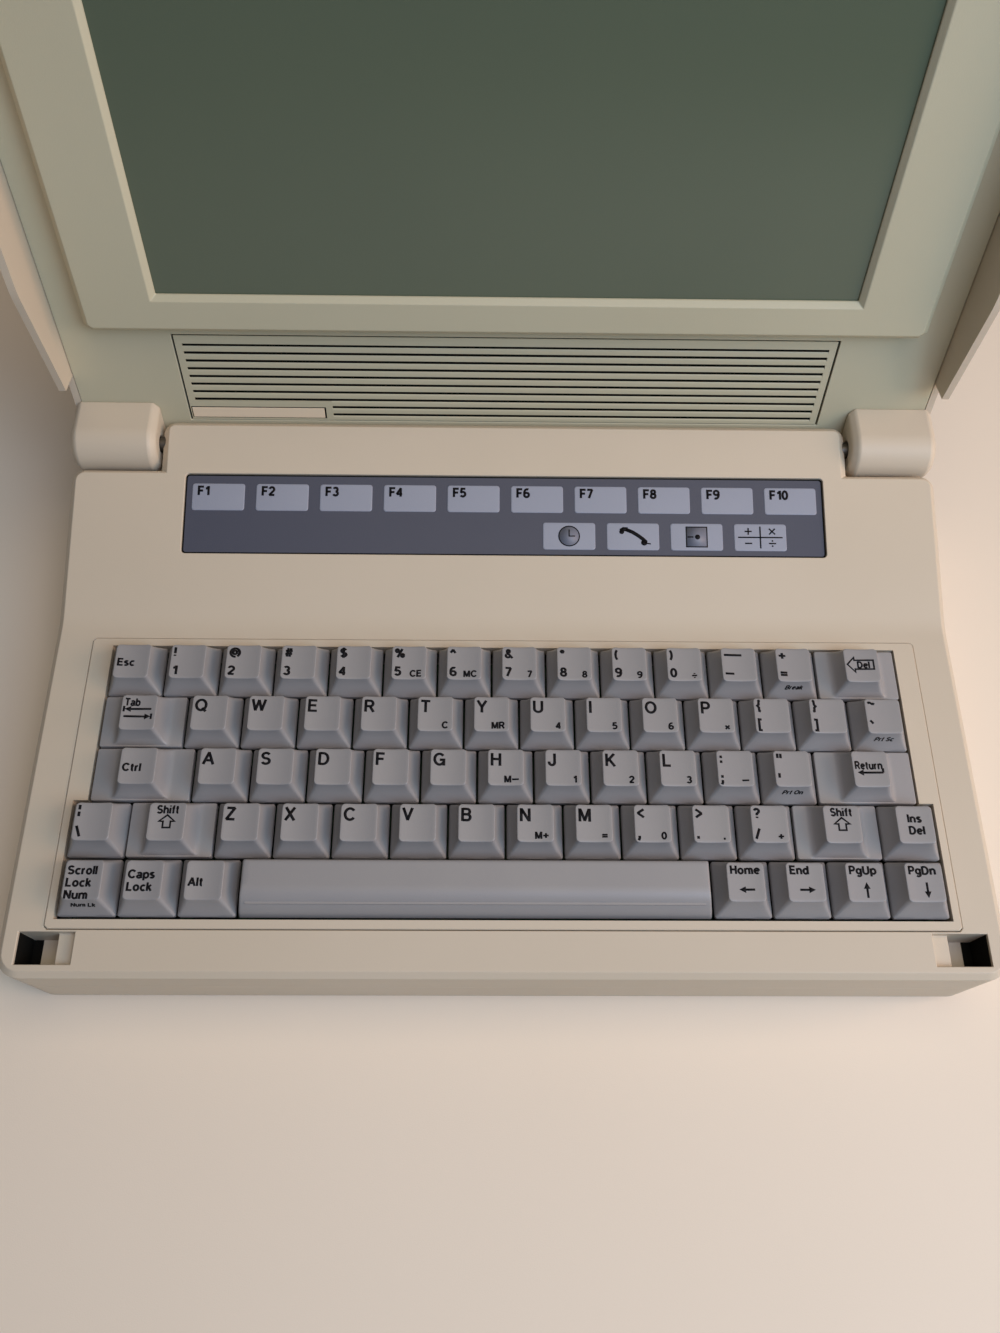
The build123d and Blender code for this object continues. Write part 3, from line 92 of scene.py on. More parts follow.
def plastic(name, colour, tint, rough=0.5, grain=2400, relief=0.00003, patch=14, shine=0.5):
    """Moulded plastic: patches of a second colour, a fine grain and an uneven gloss."""
    material = bpy.data.materials.new(name)
    material.use_nodes = True
    tree = material.node_tree
    shader = tree.nodes["Principled BSDF"]
    where = tree.nodes.new("ShaderNodeTexCoord")
    patches = tree.nodes.new("ShaderNodeTexNoise")
    patches.inputs["Scale"].default_value = patch
    patches.inputs["Detail"].default_value = 4
    tree.links.new(where.outputs["Object"], patches.inputs["Vector"])
    colours = tree.nodes.new("ShaderNodeMix")
    colours.data_type = "RGBA"
    colours.inputs["A"].default_value = linear(*colour)
    colours.inputs["B"].default_value = linear(*tint)
    tree.links.new(patches.outputs["Fac"], colours.inputs["Factor"])
    tree.links.new(colours.outputs["Result"], shader.inputs["Base Color"])
    grains = tree.nodes.new("ShaderNodeTexNoise")
    grains.inputs["Scale"].default_value = grain
    grains.inputs["Detail"].default_value = 3
    tree.links.new(where.outputs["Object"], grains.inputs["Vector"])
    gloss = tree.nodes.new("ShaderNodeMapRange")
    gloss.inputs["To Min"].default_value = rough - GLOSS_SPREAD
    gloss.inputs["To Max"].default_value = rough + GLOSS_SPREAD
    tree.links.new(patches.outputs["Fac"], gloss.inputs["Value"])
    tree.links.new(gloss.outputs["Result"], shader.inputs["Roughness"])
    bump = tree.nodes.new("ShaderNodeBump")
    bump.inputs["Distance"].default_value = relief
    tree.links.new(grains.outputs["Fac"], bump.inputs["Height"])
    tree.links.new(bump.outputs["Normal"], shader.inputs["Normal"])
    shader.inputs["Specular IOR Level"].default_value = shine
    return material


case = plastic("case_plastic", (207, 193, 174), (200, 186, 165))
lid_inner = plastic("lid_plastic", (196, 190, 164), (189, 182, 155))
badge = plastic("badge_plastic", (238, 219, 192), (232, 212, 185))
panel = plastic("panel_membrane", (77, 80, 95), (71, 74, 89), rough=0.42, shine=0.35)
pad = plastic("pad_membrane", (150, 154, 170), (144, 149, 165), rough=0.42)
keycap = plastic("keycap_plastic", (151, 148, 148), (145, 142, 143), rough=0.42, patch=40)
# Painted shade: a near-black material for thin sheets that stand in for the shade deep in gaps, slots
# and holes
shade = plastic("painted_shade_black", (20, 19, 16), (15, 14, 12), rough=0.9, shine=0.1)
black = plastic("black_plastic", (38, 38, 40), (30, 30, 32), rough=0.55)
board = plastic("board_green", (28, 74, 48), (22, 62, 40), rough=0.4)
wrap = plastic("battery_wrap", (62, 84, 120), (54, 76, 110), rough=0.3)
rubber = plastic("foot_rubber", (44, 43, 42), (36, 35, 34), rough=0.8, grain=1200, relief=0.0001)
glass = plastic("display_face", (92, 102, 84), (88, 98, 82), rough=0.12, relief=0.000002)


def metal(name, colour, rough):
    """Plated sheet or turned steel, with a fine uneven polish."""
    tint = [value - 10 for value in colour]
    material = plastic(name, colour, tint, rough, grain=900, relief=0.00001)
    material.node_tree.nodes["Principled BSDF"].inputs["Metallic"].default_value = 1
    return material


steel = metal("zinc_steel", (186, 186, 184), 0.35)
socket = metal("socket_plating", (176, 178, 182), 0.3)
pin_steel = metal("pin_steel", (104, 100, 94), 0.45)
finishes = {
    "case": case,
    "lid_inner": lid_inner,
    "badge": badge,
    "panel": panel,
    "pads": pad,
    "keycap": keycap,
    "black_plastic": black,
    "circuit_board": board,
    "battery_wrap": wrap,
    "socket_metal": socket,
    "steel": steel,
    "rubber": rubber,
    "display": glass,
}


WELD_REACH = 0.00001
FLAT_ANGLE = 0.5
EDGE_ANGLE = 30
EDGE_STEPS = 3


def finish_node(name, material, edge=0.0):
    """Gives a CAD node its material, and rounds its sharp edges by the edge width in millimetres."""
    node = nodes[name]
    node.data.materials.clear()
    node.data.materials.append(material)
    if edge == 0:
        return
    weld = node.modifiers.new("weld", "WELD")
    weld.merge_threshold = WELD_REACH
    flat = node.modifiers.new("flat", "DECIMATE")
    flat.decimate_type = "DISSOLVE"
    flat.angle_limit = math.radians(FLAT_ANGLE)
    rounding = node.modifiers.new("rounding", "BEVEL")
    rounding.width = edge / 1000
    rounding.segments = EDGE_STEPS
    rounding.limit_method = "ANGLE"
    rounding.angle_limit = math.radians(EDGE_ANGLE)
    rounding.use_clamp_overlap = False
    rounding.harden_normals = False
    shading = node.modifiers.new("shade", "WEIGHTED_NORMAL")
    shading.keep_sharp = True


record = frame["record"]
slot_of = {part["node"]: part["material_slot"] for part in record["subparts"]}
edge_of = {
    "base_upper_shell": 0.3,
    "left_hinge_block": 0.9,
    "right_hinge_block": 0.9,
    "lid_bezel": 0.3,
    "badge_plate": 0.12,
    "left_latch": 0.2,
    "right_latch": 0.2,
}
for name, slot in slot_of.items():
    finish_node(name, finishes[slot], edge_of.get(name, 0))
    for polygon in nodes[name].data.polygons:
        polygon.use_smooth = True
finish_node("hinge_pins", pin_steel)

# Keys: rows from the front, each with its keys from the left and their widths in pitches

KEY_PITCH = 19.05
KEY_GAP = 0.75
FIRST_ROW_Y = 0.6
FRONT_ROW = [
    ("scroll_lock", 1),
    ("caps_lock", 1),
    ("alt", 1),
    ("space", 8),
    ("home", 1),
    ("end", 1),
    ("page_up", 1),
    ("page_down", 1),
]
SHIFT_ROW = [("backslash", 1), ("left_shift", 1.5), *[(letter, 1) for letter in "zxcvbnm"]]
SHIFT_ROW += [("comma", 1), ("period", 1), ("slash", 1), ("right_shift", 1.5), ("insert", 1)]
HOME_ROW = [("control", 1.75), *[(letter, 1) for letter in "asdfghjkl"]]
HOME_ROW += [("semicolon", 1), ("quote", 1), ("return", 1.75)]
UPPER_ROW = [("tab", 1.5), *[(letter, 1) for letter in "qwertyuiop"]]
UPPER_ROW += [("left_bracket", 1), ("right_bracket", 1), ("tilde", 1)]
NUMBER_ROW = [("escape", 1), *[(digit, 1) for digit in "1234567890"]]
NUMBER_ROW += [("minus", 1), ("equals", 1), ("backspace", 1.5)]
KEY_ROWS = [FRONT_ROW, SHIFT_ROW, HOME_ROW, UPPER_ROW, NUMBER_ROW]

SYMBOL_KEYS = ["minus", "equals", "left_bracket", "right_bracket", "tilde"]
SYMBOL_KEYS += ["semicolon", "quote", "comma", "period", "slash"]
COMMAND_KEYS = ["escape", "backslash", "insert", "scroll_lock", "caps_lock"]
COMMAND_KEYS += ["alt", "home", "end", "page_up", "page_down"]


def body_of_key(name):
    """The body that a key moves with, which is also its CAD node."""
    if name.isdigit():
        return "number_keys"
    if name in SYMBOL_KEYS:
        return "symbol_keys"
    if name in COMMAND_KEYS:
        return "command_keys"
    return "key_" + name


def key_places():
    """Every key's name, middle and width in pitches."""
    places = []
    for number, row in enumerate(KEY_ROWS):
        y = FIRST_ROW_Y + (number + 0.5) * KEY_PITCH
        x = -sum(width for _, width in row) * KEY_PITCH / 2
        for name, width in row:
            places.append((name, x + width * KEY_PITCH / 2, y, width))
            x += width * KEY_PITCH
    return places


# Shapes of the caps, in millimetres from the middle of the key

TOP_HALF_WIDTH = 6.0
TOP_FRONT = -5.6
TOP_REAR = 7.1
TOP_Z = 8.0
TOP_RADIUS = 1.4
DISH_DEPTH = 0.55
BASE_HALF = (KEY_PITCH - KEY_GAP) / 2
BASE_Z = -1.5
BASE_RADIUS = 0.7
SKIRT_Z = 0.2
HOLLOW_CURVE = 0.44
WING_Z = 1.0
CAP_WALL = 1.4
ROOF_Z = 5.65
STEM_HALF = 2.0
STEM_Z = -9.5
STEM_TAPER = 0.3
STEM_TIP = 0.4
STEM_RADIUS = 0.25
LIP = 0.12
WING_EDGE = 0.35
WING_END = 10.4
WING_INSET = 0.21
WING_FLARE = [(0.0, 0.0), (0.3, 0.05), (0.55, 0.2), (0.78, 0.55), (1.0, 1.1)]
SIDE_PARTS = [0.1, 0.22, 0.35, 0.5, 0.65, 0.8, 0.92, 1.0]
CORNER_STEPS = 5
EDGE_ROUNDING = [(0.0, 0.36), (0.03, 0.22), (0.1, 0.11), (0.21, 0.035), (0.36, 0.0)]


def outline(half_width, front, rear, radius, across, along):
    """A rounded rectangle, anticlockwise from its front right corner."""
    middles = [
        (half_width - radius, front + radius),
        (half_width - radius, rear - radius),
        (-half_width + radius, rear - radius),
        (-half_width + radius, front + radius),
    ]
    arcs = []
    for number, (x, y) in enumerate(middles):
        arc = []
        for step in range(CORNER_STEPS + 1):
            angle = math.radians(90 * (number - 1 + step / CORNER_STEPS))
            arc.append((x + radius * math.cos(angle), y + radius * math.sin(angle)))
        arcs.append(arc)
    points = []
    for number, arc in enumerate(arcs):
        points += arc
        x0, y0 = arc[-1]
        x1, y1 = arcs[(number + 1) % 4][0]
        count = along if number % 2 == 0 else across
        for step in range(1, count + 1):
            part = step / (count + 1)
            points.append((x0 + (x1 - x0) * part, y0 + (y1 - y0) * part))
    return points


def dish(x):
    """Height of the top's trough above the deck."""
    return TOP_Z - DISH_DEPTH * (1 - min(1, (x / TOP_HALF_WIDTH) ** 2))


def loft(rings, close_start=True, close_end=True):
    """Points and faces of a closed skin through rings of equally many points."""
    points = []
    faces = []
    count = len(rings[0])
    for ring in rings:
        points += ring
    for number in range(len(rings) - 1):
        low = number * count
        high = low + count
        for step in range(count):
            after = (step + 1) % count
            faces.append((low + step, low + after, high + after, high + step))
    if close_start:
        faces.append(tuple(reversed(range(count))))
    if close_end:
        last = (len(rings) - 1) * count
        faces.append(tuple(range(last, last + count)))
    return points, faces


def level(half_width, front, rear, radius, z, across, along):
    """A flat ring at one height."""
    return [(x, y, z) for x, y in outline(half_width, front, rear, radius, across, along)]


def side_curve(part):
    """How far in the side has come at a part of its height: fast at the foot and steep at the top."""
    return part + HOLLOW_CURVE * part * (1 - part)


def front_line(part):
    """How far forward the front face stands at a part of its height."""
    return -BASE_HALF + (TOP_FRONT + BASE_HALF) * side_curve(part)


def cap_shape(width):
    """A hollow cap with a trough on top, and a wide one's low wings, lofted from the stem out and up."""
    across = 7 if width == 1 else 13
    along = 3
    full = width * KEY_PITCH / 2 - KEY_GAP / 2
    inner = BASE_HALF - CAP_WALL

    def flat(half_width, front, rear, radius, z):
        return level(half_width, front, rear, radius, z, across, along)

    rings = [
        flat(STEM_HALF - STEM_TAPER, -STEM_HALF + STEM_TAPER, STEM_HALF - STEM_TAPER, 0.15, STEM_Z),
        flat(STEM_HALF, -STEM_HALF, STEM_HALF, STEM_RADIUS, STEM_Z + STEM_TIP),
        flat(STEM_HALF, -STEM_HALF, STEM_HALF, STEM_RADIUS, ROOF_Z),
        flat(TOP_HALF_WIDTH - CAP_WALL, TOP_FRONT + CAP_WALL, TOP_REAR - CAP_WALL, 0.6, ROOF_Z),
    ]
    if width > 1:
        rings.append(flat(inner - 0.5, -inner + 0.4, inner - 0.3, 0.5, WING_Z - CAP_WALL))
        rings.append(flat(full - CAP_WALL, -inner, inner, 0.5, WING_Z - CAP_WALL - 0.02))
    rings.append(flat(full - CAP_WALL, -inner, inner, 0.5, BASE_Z))
    rings.append(flat(full - LIP, -BASE_HALF + LIP, BASE_HALF - LIP, BASE_RADIUS, BASE_Z))
    rings.append(flat(full, -BASE_HALF, BASE_HALF, BASE_RADIUS, BASE_Z + LIP))
    if width > 1:
        edge = WING_Z - WING_EDGE
        rings.append(flat(full, -BASE_HALF, BASE_HALF, BASE_RADIUS, edge))
        rings.append(flat(full - 0.06, -BASE_HALF + 0.05, BASE_HALF - 0.05, BASE_RADIUS, edge + 0.2))
        rings.append(flat(full - 0.18, -BASE_HALF + 0.12, BASE_HALF - 0.12, BASE_RADIUS, edge + 0.31))
        rings.append(flat(full - 0.38, -BASE_HALF + 0.2, BASE_HALF - 0.2, BASE_RADIUS, WING_Z))
        foot = min(full - 0.6, WING_END)
        start_z = WING_Z + WING_FLARE[-1][1]
        start_part = (start_z - SKIRT_Z) / (TOP_Z - SKIRT_Z)
        start_half = BASE_HALF + (TOP_HALF_WIDTH - BASE_HALF) * side_curve(start_part)
        for inward, up in WING_FLARE:
            half_width = foot + (start_half - foot) * inward
            z = WING_Z + 0.01 + up
            part = (z - SKIRT_Z) / (TOP_Z - SKIRT_Z)
            front = -BASE_HALF + WING_INSET
            rear = BASE_HALF - WING_INSET
            if up:
                front = max(front_line(part), front)
                rear = min(rear, BASE_HALF + (TOP_REAR - BASE_HALF) * side_curve(part))
            rings.append(flat(half_width, front, rear, BASE_RADIUS, z))
    else:
        rings.append(flat(full, -BASE_HALF, BASE_HALF, BASE_RADIUS, SKIRT_Z))
    for part in SIDE_PARTS[2:] if width > 1 else SIDE_PARTS:
        come = side_curve(part)
        half_width = BASE_HALF + (TOP_HALF_WIDTH - BASE_HALF) * come
        front = front_line(part)
        rear = BASE_HALF + (TOP_REAR - BASE_HALF) * come
        radius = BASE_RADIUS + (TOP_RADIUS - BASE_RADIUS) * come
        ring = []
        for x, y in outline(half_width, front, rear, radius, across, along):
            rim = dish(x * TOP_HALF_WIDTH / half_width) - EDGE_ROUNDING[0][1]
            ring.append((x, y, SKIRT_Z + (rim - SKIRT_Z) * part))
        rings.append(ring)
    insets = EDGE_ROUNDING[1:] + [(inset, 0.0) for inset in (1.2, 2.4, 3.6, 4.8)]
    for inset, drop in insets:
        half_width = TOP_HALF_WIDTH - inset
        rest = half_width / TOP_HALF_WIDTH
        ring = []
        radius = max(0.3, TOP_RADIUS - inset)
        for x, y in outline(half_width, TOP_FRONT + inset, TOP_REAR - inset, radius, across, along):
            ring.append((x, y, dish(x) - drop))
        rings.append(ring)
    return loft(rings)


SPACE_TOP_Z = 7.4
SPACE_ENDS = 1.5
SPACE_FOOT_REAR = 9.15
SPACE_REAR_SLOPE = 1.5
SPACE_WALL = 2.8
SPACE_SECTION = [
    (-1.4, -9.15, 9.15),
    (0.2, -8.95, 8.85),
    (1.4, -8.55, 8.68),
    (2.6, -7.95, 8.5),
    (3.8, -7.15, 8.27),
    (4.9, -6.25, 8.08),
    (5.8, -5.3, 7.94),
    (6.5, -4.3, 7.8),
    (7.0, -3.2, 7.62),
    (7.28, -2.1, 7.36),
    (7.4, -0.9, 6.95),
]
STABILISER_X = 3 * KEY_PITCH


def space_shape(width):
    """The long bar: a flat top that rounds over to a sloping front, hollow, on three stems."""
    across = 15
    along = 3
    full = width * KEY_PITCH / 2 - KEY_GAP / 2
    rings = [
        level(full - SPACE_WALL, -6.2, 6.6, 0.6, SPACE_TOP_Z - 1.8, across, along),
        level(full - SPACE_WALL, -6.35, 7.7, 0.6, BASE_Z, across, along),
        level(full - LIP, -9.03, 9.03, BASE_RADIUS, BASE_Z, across, along),
    ]
    for z, front, rear in SPACE_SECTION:
        half_width = full - SPACE_ENDS * (SPACE_FOOT_REAR - rear) / SPACE_REAR_SLOPE
        rings.append(level(half_width, front, rear, BASE_RADIUS, z, across, along))
    rings.append(level(full - 4, -0.4, 6.4, 0.4, SPACE_TOP_Z, across, along))
    points, faces = loft(rings)
    for x in (-STABILISER_X, 0, STABILISER_X):
        stem_rings = []
        heights = [STEM_Z, STEM_Z + STEM_TIP, SPACE_TOP_Z - 1]
        for half, z in zip([STEM_HALF - STEM_TAPER, STEM_HALF, STEM_HALF], heights):
            ring = level(half, -half, half, 0.2, z, 1, 1)
            stem_rings.append([(x + px, py, pz) for px, py, pz in ring])
        stem_points, stem_faces = loft(stem_rings)
        start = len(points)
        points += stem_points
        faces += [tuple(start + number for number in face) for face in stem_faces]
    return points, faces


class Skin:
    """Points and faces gathered for one piece."""

    def __init__(self):
        self.points = []
        self.faces = []

    def add(self, points, faces):
        """Adds a shape whose points are already in the deck frame."""
        start = len(self.points)
        self.points += points
        self.faces += [tuple(start + number for number in face) for face in faces]

    def piece(self, name, material, body, slot=None, stands_for=(), sharp=35, thick=0):
        """Makes the piece, which rides on a body and may stand for CAD nodes.

        It is smooth up to the sharp angle, or all flat where it gets a thickness.
        """
        mesh = bpy.data.meshes.new(name)
        mesh.from_pydata([place(*point) for point in self.points], [], self.faces)
        mesh.materials.append(material)
        for polygon in mesh.polygons:
            polygon.use_smooth = thick == 0
        mesh.set_sharp_from_angle(angle=math.radians(sharp))
        made = bpy.data.objects.new(name, mesh)
        bpy.context.scene.collection.objects.link(made)
        if thick:
            solid = made.modifiers.new("thickness", "SOLIDIFY")
            solid.thickness = thick / 1000
            solid.offset = 1
        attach(made, body)
        if stands_for:
            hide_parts(*stands_for)


def add_caps():
    """The caps of each body as one piece."""
    shapes = {}
    skins = {}
    for name, x, y, width in key_places():
        if width not in shapes:
            shapes[width] = space_shape(width) if name == "space" else cap_shape(width)
        points, faces = shapes[width]
        skin = skins.setdefault(body_of_key(name), Skin())
        skin.add([(px + x, py + y, pz) for px, py, pz in points], faces)
    for body, skin in skins.items():
        skin.piece("cap_" + body.replace("key_", ""), keycap, body, "keycap", [body])


add_caps()

# Legends: plain generic key names, printed on the caps

INK_RISE = 0.015
INK_THICK = 0.03
CAP_LETTER = 4.4
CAP_SIGN = 3.3
CAP_WORD = 2.7
CAP_SMALL = 2.4
CAP_FRONT_WORD = 1.7
LETTER_SQUEEZE = 1.1
NARROW_WORD = 0.9
LEFT = -4.9
RIGHT = 4.3
PEN = 0.195
SMALL_PEN = 0.24
LETTER_GAP = 0.14


def bow(x, y, wide, high, start=0, end=360):
    """Points along an upright ellipse's line from one angle to another, in degrees."""
    steps = max(2, round(abs(end - start) / 15))
    points = []
    for step in range(steps + 1):
        angle = math.radians(start + (end - start) * step / steps)
        points.append((x + wide * math.cos(angle), y + high * math.sin(angle)))
    return points


def mirrored(paths, width):
    """The same lines, left for right."""
    return [[(width - x, y) for x, y in path] for path in paths]


UPRIGHT = [(0.07, 0), (0.07, 1)]
SMALL_UPRIGHT = [(0.07, 0), (0.07, 0.72)]
ESS = bow(0.33, 0.715, 0.23, 0.215, 25, 262) + bow(0.33, 0.285, 0.25, 0.215, 82, -155)
SMALL_ESS = bow(0.25, 0.53, 0.17, 0.125, 25, 262) + bow(0.25, 0.215, 0.185, 0.145, 82, -155)
SMALL_BOWL = bow(0.3, 0.36, 0.23, 0.295)
SMALL_ARCH = [*bow(0.29, 0.42, 0.21, 0.235, 160, 0), (0.5, 0)]
BRACE = [(0.36, 1.08), (0.22, 1.03), (0.2, 0.62), (0.06, 0.46), (0.2, 0.3), (0.22, -0.1), (0.36, -0.15)]
SIX = [bow(0.31, 0.3, 0.24, 0.235), bow(0.36, 0.5, 0.29, 0.435, 62, 190)]
DOT = [(0.12, -0.04), (0.12, 0.24)]
COMMA = [(0.12, 0.24), (0.12, 0.0), (0.02, -0.22)]

# Each sign's width and lines, where a capital is 1 high

